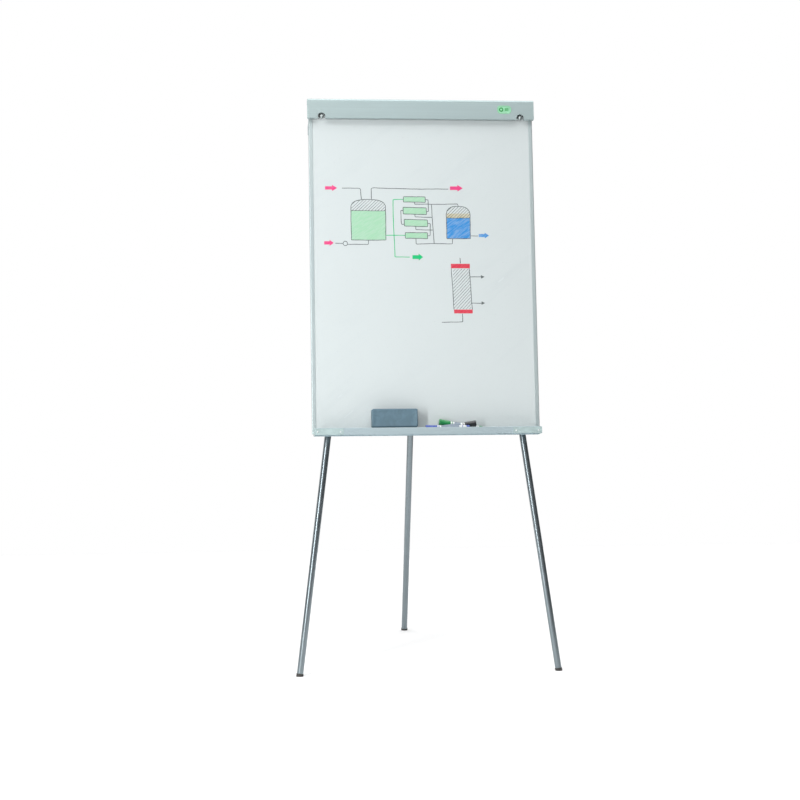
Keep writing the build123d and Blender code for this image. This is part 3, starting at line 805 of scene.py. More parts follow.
@dataclass(frozen=True)
class Plated(Finish):
    """Bright zinc or nickel on small steel parts.

    Args:
        rough: how dull it is.
    """

    rough: float = 0.3

    def draw(self, graph: Graph) -> None:
        """Spangled plating, dulled in blotches, with fine tool marks."""
        at = graph.place()
        spangle = graph.node(
            "ShaderNodeTexVoronoi", {"feature": "F1"}, {"Vector": at, "Scale": 900.0}, "Distance"
        )
        blotch = graph.noise(at, 240.0, 3.0)
        colour = graph.blend(spangle.step(0.1, 0.7), toned(self.colour, 1.06), toned(self.colour, 0.88))
        colour = graph.blend(blotch.step(0.55, 0.75) * 0.4, colour, toned(self.colour, 0.7))
        graph.surface(
            Base_Color=colour,
            Metallic=1.0,
            Roughness=blotch * 0.25 + (self.rough - 0.1),
            Normal=graph.bump(graph.noise(at, 3200.0, 1.0), 0.000006),
        )


@dataclass(frozen=True)
class PowderCoat(Finish):
    """Powder-coated steel with an orange-peel skin."""

    def draw(self, graph: Graph) -> None:
        """Peel of two sizes, a slight drift of tone, and chips that show grey metal."""
        at = graph.place()
        peel = graph.noise(at, 850.0, 2.0) + graph.noise(at, 2400.0, 1.0) * 0.5
        chips = graph.noise(at, 160.0, 4.0, 0.5).step(0.75, 0.78)
        colour = graph.blend(graph.noise(at, 12.0).step(0.3, 0.7), self.colour, toned(self.colour, 0.9))
        colour = graph.blend(chips * 0.7, colour, (0.3, 0.3, 0.3))
        graph.surface(
            Base_Color=colour,
            Metallic=0.35 + chips * 0.4,
            Roughness=peel * 0.08 + 0.36,
            Normal=graph.bump(peel, 0.00003),
        )


@dataclass(frozen=True)
class Felt(Finish):
    """Pressed felt that has soaked up ink dust."""

    def draw(self, graph: Graph) -> None:
        """Matted fibres in two directions, pilled, with darker smears."""
        at = graph.place()
        fibres = graph.noise(graph.place(scale=(1.0, 1.0, 4.0)), 1500.0, 4.0, 2.0)
        matted = graph.noise(graph.place(scale=(3.0, 1.0, 1.0)), 900.0, 4.0, 2.5)
        smear = graph.noise(at, 45.0, 3.0, 0.8).step(0.45, 0.7)
        colour = graph.blend(fibres.step(0.3, 0.7), toned(self.colour, 0.55), toned(self.colour, 1.5))
        colour = graph.blend(smear * 0.6, colour, toned(self.colour, 0.4, 0.4, 0.55))
        graph.surface(
            Base_Color=colour,
            Roughness=fibres * 0.1 + 0.85,
            Sheen_Weight=0.4,
            Sheen_Roughness=0.5,
            Normal=graph.bump(fibres + matted, 0.00022),
        )


@dataclass(frozen=True)
class Honeycomb(Finish):
    """Edge of a paper honeycomb core."""

    def draw(self, graph: Graph) -> None:
        """Paper-brown cells with darker walls."""
        at = graph.place()
        edges = {"feature": "DISTANCE_TO_EDGE"}
        cells = graph.node("ShaderNodeTexVoronoi", edges, {"Vector": at, "Scale": 150.0}, "Distance")
        pulp = graph.noise(at, 1300.0, 4.0)
        colour = graph.blend(cells.step(0.0, 0.12), toned(self.colour, 0.4), self.colour)
        colour = graph.blend(pulp.step(0.4, 0.7) * 0.3, colour, toned(self.colour, 0.7))
        graph.surface(
            Base_Color=colour,
            Roughness=pulp * 0.1 + 0.8,
            Normal=graph.bump(cells.step(0.0, 0.1) + pulp * 0.3, 0.0004),
        )


@dataclass(frozen=True)
class Ink(Finish):
    """Dry-wipe ink: uneven where the nib dragged or paused.

    Args:
        faded: how much of the enamel shows through, from 0 to 1.
        board: colour of the enamel under it.
        turn: which way the strokes of a filled area run, in radians.
    """

    faded: float = 0.1
    board: Colour = (0.57, 0.62, 0.625)
    turn: float = 0.6

    def draw(self, graph: Graph) -> None:
        """Overlapping strokes, darker where they cross, that break up as they fade."""
        at = graph.place()
        along = graph.place(turn=(0.0, self.turn, 0.0), scale=(1.0, 1.0, 7.0))
        strokes = graph.noise(along, 46.0, 2.0, 0.3)
        drag = graph.noise(at, 800.0, 3.0)
        thin = (strokes.step(0.35, 0.66) * 0.75 + drag.step(0.5, 0.75) * 0.35) * self.faded
        colour = graph.blend(drag.step(0.3, 0.7) * 0.25, self.colour, toned(self.colour, 0.75))
        colour = graph.blend(thin, colour, self.board)
        graph.surface(Base_Color=colour, Roughness=drag * 0.15 + 0.32, Normal=graph.bump(drag, 0.00001))


@dataclass(frozen=True)
class StudioFloor(Finish):
    """Plain painted studio floor."""

    def draw(self, graph: Graph) -> None:
        """Almost even, with the faintest drift in its dullness."""
        drift = graph.noise(graph.place(), 1.5, 2.0)
        colour = graph.blend(drift * 0.4, self.colour, toned(self.colour, 0.985))
        graph.surface(Base_Color=colour, Roughness=drift * 0.1 + 0.8, Specular_IOR_Level=0.2)


# ---- Small fixings ----
@dataclass
class Fixings:
    """Screw heads, tray rivets and pad pegs, each where its machined stand-in is.

    Args:
        layout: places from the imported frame.
        recess: depth of a screw's cross recess, in millimetres.
        dome: share of a head's height that is rounded.
        turns: steps round a head.
    """

    layout: Layout
    recess: float = 1.0
    dome: float = 0.55
    turns: int = 32

    def _outward(self, low: np.ndarray, high: np.ndarray, facing: int) -> Axes:
        """Axes whose Z runs from a solid's head seat out through its head."""
        board = self.layout.board
        middle = (low + high) / 2
        end = high[2] if facing > 0 else low[2]
        way = board.basis[2] * facing
        return Axes.facing(board.world(np.array([middle[0], middle[1], end])), way, board.basis[0])

    def screws(self) -> bpy.types.Object:
        """Pan heads with a cross recess.

        A head's profile is a wall with a rounded shoulder; the recess is a round whose radius
        is swung by cos 4a, narrowing as it deepens.

        Returns:
            The piece, one shell for every screw.
        """
        shell = Shell(self.layout.board)
        for low, high in self.layout.clusters("frame_screws", self.layout.board, 6.0):
            facing = 1 if high[2] > 0.0 else -1
            width = (high[0] - low[0]) / 2
            tall = 0.75 * width
            shell.axes = self._outward(low, high, facing)
            length = high[2] - low[2]
            profile = rounded(
                [
                    (-length, 0.0, 0.0),
                    (-length + 0.8, 0.62 * width, 0.0),
                    (-tall, 0.62 * width, 0.0),
                    (-tall, width, 0.25),
                    (-tall * self.dome, width, 0.1),
                    (0.0, 0.82 * width, 0.5),
                    (0.0, 0.5 * width, 0.0),
                    (-self.recess, 0.26 * width, 0.0),
                    (-self.recess, 0.0, 0.0),
                ]
            )
            crossed = np.where(profile[:, 1] < 0.51 * width, 0.42, 0.0) * (profile[:, 0] > -1.4)
            shell.spun(profile, self.turns, depth=crossed, lobes=4)
        made = shell.build("frame_screws_headed", ["screw_steel"], "board", "screw_steel")
        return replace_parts(made, "frame_screws")

    def rivets(self) -> bpy.types.Object:
        """Blind rivets: a low dome with the snapped mandrel's dimple in the middle.

        Returns:
            The piece, one shell for all four.
        """
        shell = Shell(self.layout.board)
        for low, high in self.layout.clusters("tray_rivets", self.layout.board, 8.0):
            wide = (high[0] - low[0]) / 2
            shell.axes = self._outward(low, high, 1)
            profile = rounded(
                [
                    (low[2] - high[2], 0.0, 0.0),
                    (low[2] - high[2], wide / 2, 0.0),
                    (-1.0, wide / 2, 0.0),
                    (-1.0, wide, 0.15),
                    (-0.35, 0.85 * wide, 0.5),
                    (0.0, 0.45 * wide, 0.2),
                    (-0.1, 0.3 * wide, 0.0),
                    (-0.45, 0.26 * wide, 0.0),
                    (-0.3, 0.1 * wide, 0.0),
                    (-0.3, 0.0, 0.0),
                ]
            )
            shell.spun(profile, self.turns)
        made = shell.build("tray_rivets_domed", ["rivet_bright"], "board", "rivet_bright")
        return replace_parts(made, "tray_rivets")

    def pegs(self) -> bpy.types.Object:
        """Turned pegs for a pad: flange, shank, a groove behind a rounded nose.

        Returns:
            The piece, one shell for both.
        """
        shell = Shell(self.layout.board)
        for low, high in self.layout.clusters("pad_pegs", self.layout.board, 16.0):
            wide = (high[0] - low[0]) / 2
            shell.axes = self._outward(low, high, 1)
            back = low[2] - high[2]
            seat = -high[2] + self.layout.board.local(self.layout.face.origin)[2]
            nose = 0.57 * wide
            profile = rounded(
                [
                    (back, 0.0, 0.0),
                    (back, 0.35 * wide, 0.2),
                    (seat, 0.35 * wide, 0.0),
                    (seat, wide, 0.2),
                    (seat + 1.5, wide, 0.4),
                    (seat + 1.5, nose, 0.3),
                    (-4.0, nose, 0.2),
                    (-3.6, nose - 0.45, 0.2),
                    (-3.0, nose - 0.45, 0.2),
                    (-2.6, nose, 0.2),
                    (0.0, nose, 1.4),
                    (0.0, 0.0, 0.0),
                ]
            )
            shell.spun(profile, self.turns)
        made = shell.build("pad_pegs_turned", ["peg_steel"], "board", "peg_steel")
        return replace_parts(made, "pad_pegs")


# ---- Badge ----
@dataclass
class Badge:
    """Plain badge on the clamp bar: a domed plate with a raised rim and a ring.

    Args:
        layout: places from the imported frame.
        rim: width of the rim, in millimetres.
        ring: outer and inner radius of the ring, in millimetres.
        ring_place: the ring's middle, to the left of the plate's.
        lift: how far the ring and the bars stand off the field.
    """

    layout: Layout
    rim: float = 1.6
    ring: tuple[float, float] = (6.6, 3.6)
    ring_place: float = 9.5
    lift: float = 0.32

    def build(self) -> bpy.types.Object:
        """Stack rounded rectangles: wall, rim, a step down, and a field domed by a hair.

        Returns:
            The piece.
        """
        axes, (wide, tall, thick) = self.layout.seat("badge", self.layout.board)
        inset = np.array([0.0, 0.0, 0.3, 0.9, self.rim, self.rim + 0.3, self.rim + 0.4, 7.0])
        height = np.append(0.0, thick - np.array([0.3, 0.05, 0.0, 0.0, 0.3, 0.34, 0.22]))
        outlines = oblong(wide - 2 * inset, tall - 2 * inset, np.maximum(10.4 - inset, 3.2))
        shell = Shell(axes).stacked(outlines, height)
        shell.axes = axes.at(-self.ring_place, 0.0, thick - 0.35)
        outer, inner = self.ring
        band = [(0.0, inner, 0.0), (self.lift, inner, 0.1), (self.lift, outer, 0.1), (0.0, outer, 0.0)]
        shell.spun(rounded(band, closed=True), 48, coat=1)
        bars = np.array([[9.0, 1.6], [9.0, 1.6], [8.6, 1.2]])
        for rise in (3.0, 0.0, -3.0):
            shell.axes = axes.at(self.ring_place - 2.0, rise, thick - 0.35)
            line = oblong(bars[:, 0] + 3.0, bars[:, 1], np.full(3, 0.55))
            shell.stacked(line, np.array([0.0, 0.25, self.lift]), coat=1)
        made = shell.build("badge_plate", ["badge_green", "badge_ring"], "clamp", "badge_green")
        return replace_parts(made, "badge")


# ---- Legs ----
@dataclass
class Leg:
    """One telescopic leg: tubes, collar, lock knob and ferrule, drawn down from its pivot.

    Args:
        layout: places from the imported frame.
        name: the leg's name in the design.
        turns: steps round a tube.
        lobes: lobes of the lock knob.
        lobe_depth: how far the lobes stand out, as a share of the knob's radius.
        boss: radius of the collar's boss.
        thread: radius of the knob's screw.
    """

    layout: Layout
    name: str
    turns: int = 64
    lobes: int = 6
    lobe_depth: float = 0.15
    boss: float = 8.5
    thread: float = 3.0
    axes: Axes = field(init=False)
    knob_axes: Axes = field(init=False)

    def __post_init__(self) -> None:
        """Find the leg's axes: Z down the leg from its pivot, X towards the knob."""
        pivot = self.layout.joints[f"{self.name}_fold"]["pos_m"]
        down = -np.array(self.layout.joints[f"{self.name}_extend"]["axis"])
        knob = self.layout.joints[f"{self.name}_knob_turn"]
        self.axes = Axes.facing(pivot, down, knob["axis"])
        self.knob_axes = Axes.facing(knob["pos_m"], knob["axis"], down)

    def _tube(self, part: str) -> bpy.types.Object:
        """Revolve a tube's wall, its rims eased.

        Args:
            part: upper_tube or lower_tube.

        Returns:
            The piece.
        """
        node = f"{self.name}_{part}"
        low, high = self.layout.span(node, self.axes)
        around = self.layout.distances(node, self.axes)
        outer, inner = around.max(), around.min()
        wall = rounded(
            [(low[2], outer, 0.4), (high[2], outer, 0.4), (high[2], inner, 0.3), (low[2], inner, 0.3)],
            closed=True,
        )
        body = f"{self.name}_{part.split('_')[0]}"
        turned = Shell(self.axes).spun(wall, self.turns)
        made = turned.build(f"{node}_drawn", ["leg_tube"], body, "leg_tube")
        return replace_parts(made, node)

    def _collar(self) -> bpy.types.Object:
        """Collar with three grip grooves and a collet mouth, and the boss for the knob.

        Returns:
            The piece.
        """
        node = f"{self.name}_lock_collar"
        low, high = self.layout.span(node, self.axes)
        start, end = low[2], high[2]
        seat = self.layout.span(f"{self.name}_upper_tube", self.axes)[1][2]
        tube = self.layout.radius(f"{self.name}_upper_tube", self.axes)
        thin = self.layout.radius(f"{self.name}_lower_tube", self.axes) + 0.08
        wide = float(-low[1])
        wall = rounded(
            [
                (start, tube, 0.0),
                (start, wide - 1.8, 0.4),
                (start + 1.8, wide, 0.6),
                *grooves(start + 5.0, wide, 3.2, (0.0, 0.5, 1.1, 1.6), 0.7, 0.25),
                (end - 2.2, wide, 0.8),
                (end, wide - 2.4, 0.6),
                (end, thin, 0.3),
                (seat, thin, 0.0),
                (seat, tube, 0.0),
            ],
            closed=True,
        )
        shell = Shell(self.axes).spun(wall, self.turns)
        bore = self.thread + 0.1
        boss = [(-9.0, bore, 0.0), (-9.0, self.boss, 0.0), (0.0, self.boss, 0.9), (0.0, bore, 0.4)]
        shell.axes = self.knob_axes
        shell.spun(rounded(boss, closed=True), 40)
        made = shell.build(f"{node}_grooved", ["leg_plastic"], f"{self.name}_upper", "leg_plastic")
        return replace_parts(made, node)

    def _knob(self) -> bpy.types.Object:
        """Thumb screw: lobes swell from a plain skirt, and the steel screw shows in the top.

        Returns:
            The piece.
        """
        node = f"{self.name}_lock_knob"
        low, high = self.layout.span(node, self.knob_axes)
        top = high[2]
        wide = self.layout.radius(node, self.knob_axes) / (1.0 + self.lobe_depth) - 0.05
        skirt = 8.0
        profile = rounded(
            [
                (1.0, 0.0, 0.0),
                (1.0, skirt, 0.5),
                (2.2, wide - 0.8, 0.6),
                (3.4, wide, 0.8),
                (top - 2.2, wide, 1.0),
                (top, wide - 1.9, 1.2),
                (top, 6.6, 0.3),
                (top - 1.0, 6.2, 0.3),
                (top - 1.0, 0.0, 0.0),
            ]
        )
        swell = self.lobe_depth * np.clip((profile[:, 1] - skirt) / (wide - skirt), 0.0, 1.0)
        shell = Shell(self.knob_axes).spun(profile, 96, lobes=self.lobes, depth=swell)
        tip, thread = low[2], self.thread
        screw = [
            (tip, 0.0, 0.0), (tip, 2.0, 0.2), (tip + 1.0, thread, 0.2), (1.4, thread, 0.0), (1.4, 0.0, 0.0),
        ]
        shown = [
            (top - 1.2, 0.0, 0.0), (top - 1.2, 3.4, 0.0), (top - 0.5, 3.4, 0.3),
            (top - 0.4, 1.6, 0.0), (top - 0.9, 1.4, 0.0), (top - 0.9, 0.0, 0.0),
        ]
        for part in (screw, shown):
            shell.spun(rounded(part), 28, coat=1)
        finishes = ["leg_plastic", "screw_steel"]
        made = shell.build(f"{node}_lobed", finishes, f"{self.name}_knob", "leg_plastic")
        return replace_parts(made, node)

    def _foot(self) -> bpy.types.Object:
        """Ribbed rubber ferrule, cut level with the floor.

        Returns:
            The piece.
        """
        node = f"{self.name}_foot"
        low, high = self.layout.span(node, self.axes)
        tube_end = self.layout.span(f"{self.name}_lower_tube", self.axes)[1][2]
        wide = self.layout.radius(node, self.axes)
        heights = self.axes.local(self.layout.vertices(node))[:, 2]
        plug = self.layout.distances(node, self.axes)[heights < tube_end - 1.0].max()
        profile = rounded(
            [
                (low[2], 0.0, 0.0),
                (low[2], plug - 0.4, 0.3),
                (low[2] + 1.0, plug, 0.0),
                (tube_end, plug, 0.0),
                (tube_end, wide - 0.3, 0.3),
                *grooves(tube_end + 1.4, wide, 2.0, (0.0, 0.35, 0.75, 1.1), 0.5, 0.2),
                (high[2] + 4.0, wide, 0.0),
                (high[2] + 4.0, 0.0, 0.0),
            ]
        )
        shell = Shell(self.axes).spun(profile, self.turns).cut_level()
        made = shell.build(f"{node}_ferrule", ["foot_rubber"], f"{self.name}_lower", "foot_rubber")
        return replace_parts(made, node)

    def build(self) -> list[bpy.types.Object]:
        """Make every new piece of the leg."""
        tubes = [self._tube(part) for part in ("upper_tube", "lower_tube")]
        return [*tubes, self._collar(), self._knob(), self._foot()]


# ---- What lies on the tray ----
@dataclass
class Eraser:
    """Board eraser: a waisted, ridged grip on a layered felt pad.

    Args:
        layout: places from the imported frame.
        waist: how far the grip's long sides pull in, in millimetres.
        ridges: finger ridges from front to back.
        layers: felt layers.
    """

    layout: Layout
    waist: float = 2.6
    ridges: int = 5
    layers: int = 3

    def grip(self) -> bpy.types.Object:
        """Stack rounded rectangles whose height is pulled in by a half sine, with ridges.

        Each long side is pulled in by w sin(pi t)^0.7 + 0.35 (1 - cos(2 pi n t)), where t runs
        from back to front, w is the waist and n the number of ridges; the front edge is eased
        and its face slightly dished.

        Returns:
            The piece.
        """
        axes, (wide, tall, deep) = self.layout.seat("eraser_block", self.layout.face)
        share = np.linspace(0.0, 1.0, 41)
        body = 4.0 + share * (deep - 4.0 - 2.5)
        ridge = 0.35 * (1 - np.cos(2 * np.pi * self.ridges * share))
        pull = self.waist * np.sin(np.pi * share) ** 0.7 + ridge
        base = np.array([0.0, 0.4, 2.6, 3.2])
        base_in = np.array([0.5, 0.0, 0.0, 0.5])
        front = deep - np.array([2.0, 1.2, 0.5, 0.12, 0.0, 0.0, 0.35, 0.5])
        front_in = np.array([0.7, 1.0, 1.7, 2.6, 3.4, 5.4, 6.2, 18.0])
        heights = np.concatenate([base, body, front])
        in_tall = np.concatenate([base_in, 0.6 + pull, front_in])
        in_wide = np.concatenate([base_in, 0.6 + 0.3 * pull, front_in])
        corner = np.clip(5.0 - in_tall * 0.4, 1.5, 5.0)
        outlines = oblong(wide - 2 * in_wide, tall - 2 * in_tall, corner)
        shell = Shell(axes).stacked(outlines, heights)
        made = shell.build("eraser_grip", ["eraser_shell"], "eraser", "eraser_shell", sharp=50.0)
        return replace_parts(made, "eraser_block")

    def pad(self) -> bpy.types.Object:
        """Stack felt layers whose edges bulge by a half sine, a slit between each two.

        Returns:
            The piece.
        """
        axes, (wide, tall, deep) = self.layout.seat("eraser_felt", self.layout.face)
        share = np.linspace(0.0, 1.0, 8 * self.layers + 1)
        bulge = np.abs(np.sin(np.pi * self.layers * share)) ** 0.4
        pinch = 1.1 * (1.0 - bulge)
        outlines = oblong(wide - 2 * pinch, tall - 2 * pinch, np.full(share.size, 3.0))
        shell = Shell(axes).stacked(outlines, share * deep)
        made = shell.build("eraser_felt_layers", ["eraser_pad"], "eraser", "eraser_pad", sharp=60.0)
        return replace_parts(made, "eraser_felt")


@dataclass
class Marker:
    """One dry-wipe marker, drawn along its own axis from its cap's end.

    Args:
        layout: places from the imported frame.
        colour: the marker's colour name in the design.
        ribs: ribs round the cap.
        shaft: radius of the barrel, in millimetres.
        plug: radius of the coloured plug in the barrel's end.
    """

    layout: Layout
    colour: str
    ribs: int = 20
    shaft: float = 7.0
    plug: float = 7.4

    def build(self) -> list[bpy.types.Object]:
        """Revolve the cap and the barrel.

        The cap's profile tapers to its mouth, with its ribs a cosine of the angle; the barrel
        is white with a plain label, and two bands and a plug in the marker's colour.

        Returns:
            The two pieces.
        """
        cap, barrel = (f"marker_{self.colour}_{part}" for part in ("cap", "barrel"))
        ends = [self.layout.vertices(node) for node in (cap, barrel)]
        boxes = [(points.min(0) + points.max(0)) / 2 for points in ends]
        rough = Axes.facing(boxes[0], boxes[1] - boxes[0], (0.0, 0.0, 1.0))
        low = rough.local(ends[0]).min(0)[2]
        axes = rough.at(0.0, 0.0, low)
        mouth = self.layout.span(cap, axes)[1][2]
        length = self.layout.span(barrel, axes)[1][2]
        wide = self.layout.radius(cap, axes)
        body = f"marker_{self.colour}"
        profile = rounded(
            [
                (0.25, 0.0, 0.0),
                (0.0, 0.55 * wide, 0.4),
                (0.0, 0.9 * wide, 0.5),
                (1.1, wide, 0.4),
                (4.0, wide - 0.14, 0.2),
                (4.4, wide - 0.5, 0.2),
                (mouth - 9.0, wide - 1.3, 0.3),
                (mouth - 8.6, wide - 0.95, 0.2),
                (mouth, self.shaft + 0.4, 0.2),
                (mouth, self.shaft + 0.1, 0.1),
                (mouth - 1.0, self.shaft + 0.05, 0.0),
                (mouth - 1.0, 0.0, 0.0),
            ]
        )
        ribbed = 0.018 * ((profile[:, 0] > 4.2) & (profile[:, 0] < mouth - 8.8))
        turned = Shell(axes).spun(profile, 8 * self.ribs, lobes=self.ribs, depth=ribbed)
        made_cap = turned.build(f"{cap}_ribbed", [body], body, body)
        tail = length - 10.0
        shaft = rounded(
            [
                (mouth - 1.5, 0.0, 0.0),
                (mouth - 1.5, self.shaft - 0.1, 0.0),
                (mouth + 0.6, self.shaft - 0.1, 0.1),
                (mouth + 0.9, self.shaft, 0.1),
                (tail, self.shaft, 0.0),
                (tail, 0.0, 0.0),
            ]
        )
        shell = Shell(axes).spun(shaft, 48)
        plug = rounded(
            [
                (tail, 0.0, 0.0),
                (tail, self.plug, 0.2),
                (tail + 2.0, self.plug, 0.1),
                (tail + 2.3, self.shaft, 0.1),
                (tail + 2.9, self.shaft, 0.1),
                (tail + 3.2, self.plug, 0.1),
                (length, self.plug - 0.1, 1.2),
                (length, 4.0, 0.2),
                (length - 0.8, 3.6, 0.2),
                (length - 0.8, 0.0, 0.0),
            ]
        )
        shell.spun(plug, 48, coat=1)
        for start, stop, coat in (
            (mouth + 4.0, mouth + 6.0, 1),
            (mouth + 12.0, tail - 22.0, 2),
            (tail - 13.0, tail - 11.0, 1),
        ):
            under, over = self.shaft - 0.2, self.shaft + 0.03
            band = [(start, under, 0.0), (start, over, 0.0), (stop, over, 0.0), (stop, under, 0.0)]
            shell.spun(rounded(band, closed=True), 48, coat=coat)
        coats = ["marker_white", body, "marker_label"]
        made_barrel = shell.build(f"{barrel}_banded", coats, body, "marker_white")
        return [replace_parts(made_cap, cap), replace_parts(made_barrel, barrel)]


# ---- The drawing on the board ----
@dataclass
class FlowDiagram:
    """A generic flow diagram in dry-wipe ink, in millimetres across and up the board.

    Args:
        layout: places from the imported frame.
        nib: width of a drawn line.
        hatch: distance between hatching lines.
        drop: how far the whole drawing lies below the heights given here.
    """

    layout: Layout
    nib: float = 2.3
    hatch: float = 10.0
    drop: float = 2.2
    black: Shell = field(init=False)
    fills: Shell = field(init=False)

    FILLS = ("ink_green", "ink_blue", "ink_pink", "ink_red", "ink_leaf", "ink_sand")

    def __post_init__(self) -> None:
        """Start with a clean board."""
        sheet = self.layout.face.at(0.0, -self.drop, 0.0)
        self.black = Shell(sheet)
        self.fills = Shell(sheet)

    def _line(self, *spots: tuple[float, float], width: float = 1.0) -> None:
        """Draw a dark line through spots."""
        self.black.stroke(spots, self.nib * width)

    def _fill(self, ink: str, lower: Line, upper: Line) -> None:
        """Fill between two edges with an ink."""
        self.fills.wash(lower, upper, self.FILLS.index(ink))

    def _slab(self, ink: str, left: float, right: float, low: float, high: float) -> None:
        """Fill an upright rectangle with an ink."""
        self._fill(ink, [(left, low), (right, low)], [(left, high), (right, high)])

    def _box(self, ink: str, left: float, right: float, low: float, high: float, skew: float) -> None:
        """A filled box with a drawn outline, its right end dropped by a skew."""
        corners = [(left, low), (right, low - skew), (right, high - skew), (left, high), (left, low)]
        self._fill(ink, corners[:2], [corners[3], corners[2]])
        self._line(*corners)

    def _arrow(self, ink: str, left: float, tip: float, middle: float, tall: float = 19.0) -> None:
        """A thick block arrow in one ink: a shaft, then a head that narrows to its tip."""
        neck = tip - 0.42 * (tip - left)
        shaft = 0.27 * tall
        edge = [(left, shaft), (neck, shaft), (neck, tall / 2), (tip, 0.3)]
        self._fill(ink, *([(x, middle + side * half) for x, half in edge] for side in (-1, 1)))

    def _dome(self, left: float, right: float, foot: float, top: float) -> np.ndarray:
        """A flattened half ellipse: height foot + (top - foot) (1 - u^2.6)^0.5, u from -1 to 1."""
        u = np.linspace(-1.0, 1.0, 25)
        rise = foot + (top - foot) * np.sqrt(1.0 - np.abs(u) ** 2.6)
        return np.stack([(left + right) / 2 + u * (right - left) / 2, rise], 1)

    def _hatching(self, left: float, right: float, low: float, roof: np.ndarray, slope: float) -> None:
        """Slanting lines between a level and a roof.

        Each line starts on the level or the left side and rises by the slope until the roof or
        the right side, found by sampling it and keeping what is inside.
        """
        for start in np.arange(left - (roof[:, 1].max() - low) / slope, right, self.hatch):
            x = np.linspace(max(start, left), right, 60)
            z = low + slope * (x - start)
            inside = (z < np.interp(x, roof[:, 0], roof[:, 1]) - 0.8) & (x > left + 0.8)
            if inside.sum() > 3:
                x, z = x[inside], z[inside]
                self._line((x[0], z[0]), (x[-1], z[-1]), width=0.6)

    def _tank(
        self, ink: str, left: float, right: float, foot: float, shoulder: float, top: float, level: float
    ) -> None:
        """A domed tank: outline, level line, liquid below it and hatching above it."""
        roof = self._dome(left, right, shoulder, top)
        self._slab(ink, left + 1, right - 1, foot + 1, level)
        walls = [(right, shoulder), (right, foot), (left, foot)]
        self._line((left, foot), (left, shoulder), *map(tuple, roof), *walls)
        self._line((left, level), (right, level), width=0.8)
        self._hatching(left, right, level, roof, 0.95)

    def _tanks(self) -> None:
        """The two tanks, the valve and the arrows that go in and out."""
        self._tank("ink_green", -222.0, -115.0, 608.0, 716.0, 735.0, 700.0)
        self._line((-249.0, 771.0), (-197.0, 770.0), (-192.0, 768.0), (-189.0, 735.0))
        self._line((-158.0, 735.0), (-158.0, 770.0), (-150.0, 772.0), (-50.0, 769.0), (82.0, 769.0))
        self._line((-272.0, 598.0), (-249.0, 597.5))
        turn = np.linspace(0.0, 2.0 * np.pi, 25)
        self._line(*zip(-241.0 + 7.0 * np.cos(turn), 597.5 + 7.0 * np.sin(turn)))
        self._line((-234.0, 595.0), (-170.0, 594.0), (-169.0, 607.0))
        self._arrow("ink_pink", -301.0, -264.0, 771.0)
        self._arrow("ink_pink", 87.0, 127.0, 772.0, 21.0)
        self._arrow("ink_pink", -306.0, -277.0, 599.0)
        self._slab("ink_sand", 75.0, 147.0, 678.0, 692.0)
        self._tank("ink_blue", 74.0, 148.0, 613.0, 690.0, 715.0, 678.0)
        self._line((149.0, 622.0), (172.0, 622.0))
        self._arrow("ink_blue", 174.0, 206.0, 623.0, 18.0)

    def _exchangers(self) -> None:
        """Four stacked boxes and the lines that join them."""
        for left, right, low, high in (
            (-59.0, 9.0, 728.0, 745.0),
            (-60.0, 12.0, 690.0, 711.0),
            (-57.0, 15.0, 652.0, 673.0),
            (-55.0, 14.0, 614.0, 632.0),
        ):
            self._box("ink_green", left, right, low, high, skew=1.2)
        self._line((9.0, 736.0), (18.0, 735.0), (18.0, 698.0), (12.0, 698.0))
        self._line((-24.0, 727.0), (-24.0, 721.0), (28.0, 721.0), (109.0, 722.0), (111.0, 716.0))
        self._line((28.0, 721.0), (34.0, 598.0))
        self._line((-24.0, 689.0), (-24.0, 681.0), (30.0, 680.0))
        self._line((-60.0, 701.0), (-68.0, 701.0), (-66.0, 658.0), (-58.0, 658.0))
        self._line((15.0, 660.0), (23.0, 660.0), (22.0, 622.0), (15.0, 622.0))
        self._line((-22.0, 651.0), (-22.0, 641.0), (32.0, 640.0))
        self._line((-22.0, 613.0), (-21.0, 596.0), (34.0, 597.0), (91.0, 597.0), (92.0, 612.0))

    def _column(self) -> None:
        """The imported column: red end bands, hatching, feeds and outlets."""
        left, right, low, high = 86.0, 146.0, 379.0, 534.0
        lean = -4.0
        self._slab("ink_red", left - 1, right - 2, high - 14, high)
        self._slab("ink_red", left + 6, right + 4, low, low + 12)
        self._line((left, high - 14.0), (left + 6.0, low + 12.0))
        self._line((right + lean, high - 14.0), (right + 3.0, low + 12.0))
        roof = np.array([(left, high - 15.0), (right + 4.0, high - 15.0)])
        self._hatching(left + 4.0, right - 1.0, low + 13.0, roof, 1.05)
        self._line((115.0, 535.0), (114.0, 553.0))
        self._line((118.0, 378.0), (118.0, 353.0), (53.0, 351.0))
        for level in (493.0, 411.0):
            self._line((144.0, level), (178.0, level))
            head = [(178.0, level - 5.5), (189.0, level)], [(178.0, level + 5.5), (189.0, level + 0.4)]
            self.black.wash(*head)

    def build(self) -> list[bpy.types.Object]:
        """Draw everything, then make one piece of the dark lines and one of the colours.

        Returns:
            The pieces.
        """
        self._tanks()
        self._exchangers()
        self._column()
        leaf = self.FILLS.index("ink_leaf")
        for line in (
            ((-60.0, 736.0), (-91.0, 735.0), (-92.0, 700.0), (-88.0, 556.0), (-42.0, 555.0)),
            ((-114.0, 623.0), (-55.0, 623.0)),
        ):
            self.fills.stroke(line, self.nib * 1.1, leaf)
        self._arrow("ink_leaf", -34.0, -1.0, 555.0, 22.0)
        lines = self.black.build("diagram_lines", ["ink_black"], "board", "marker_black")
        return [lines, self.fills.build("diagram_colours", self.FILLS, "board", "marker_green")]


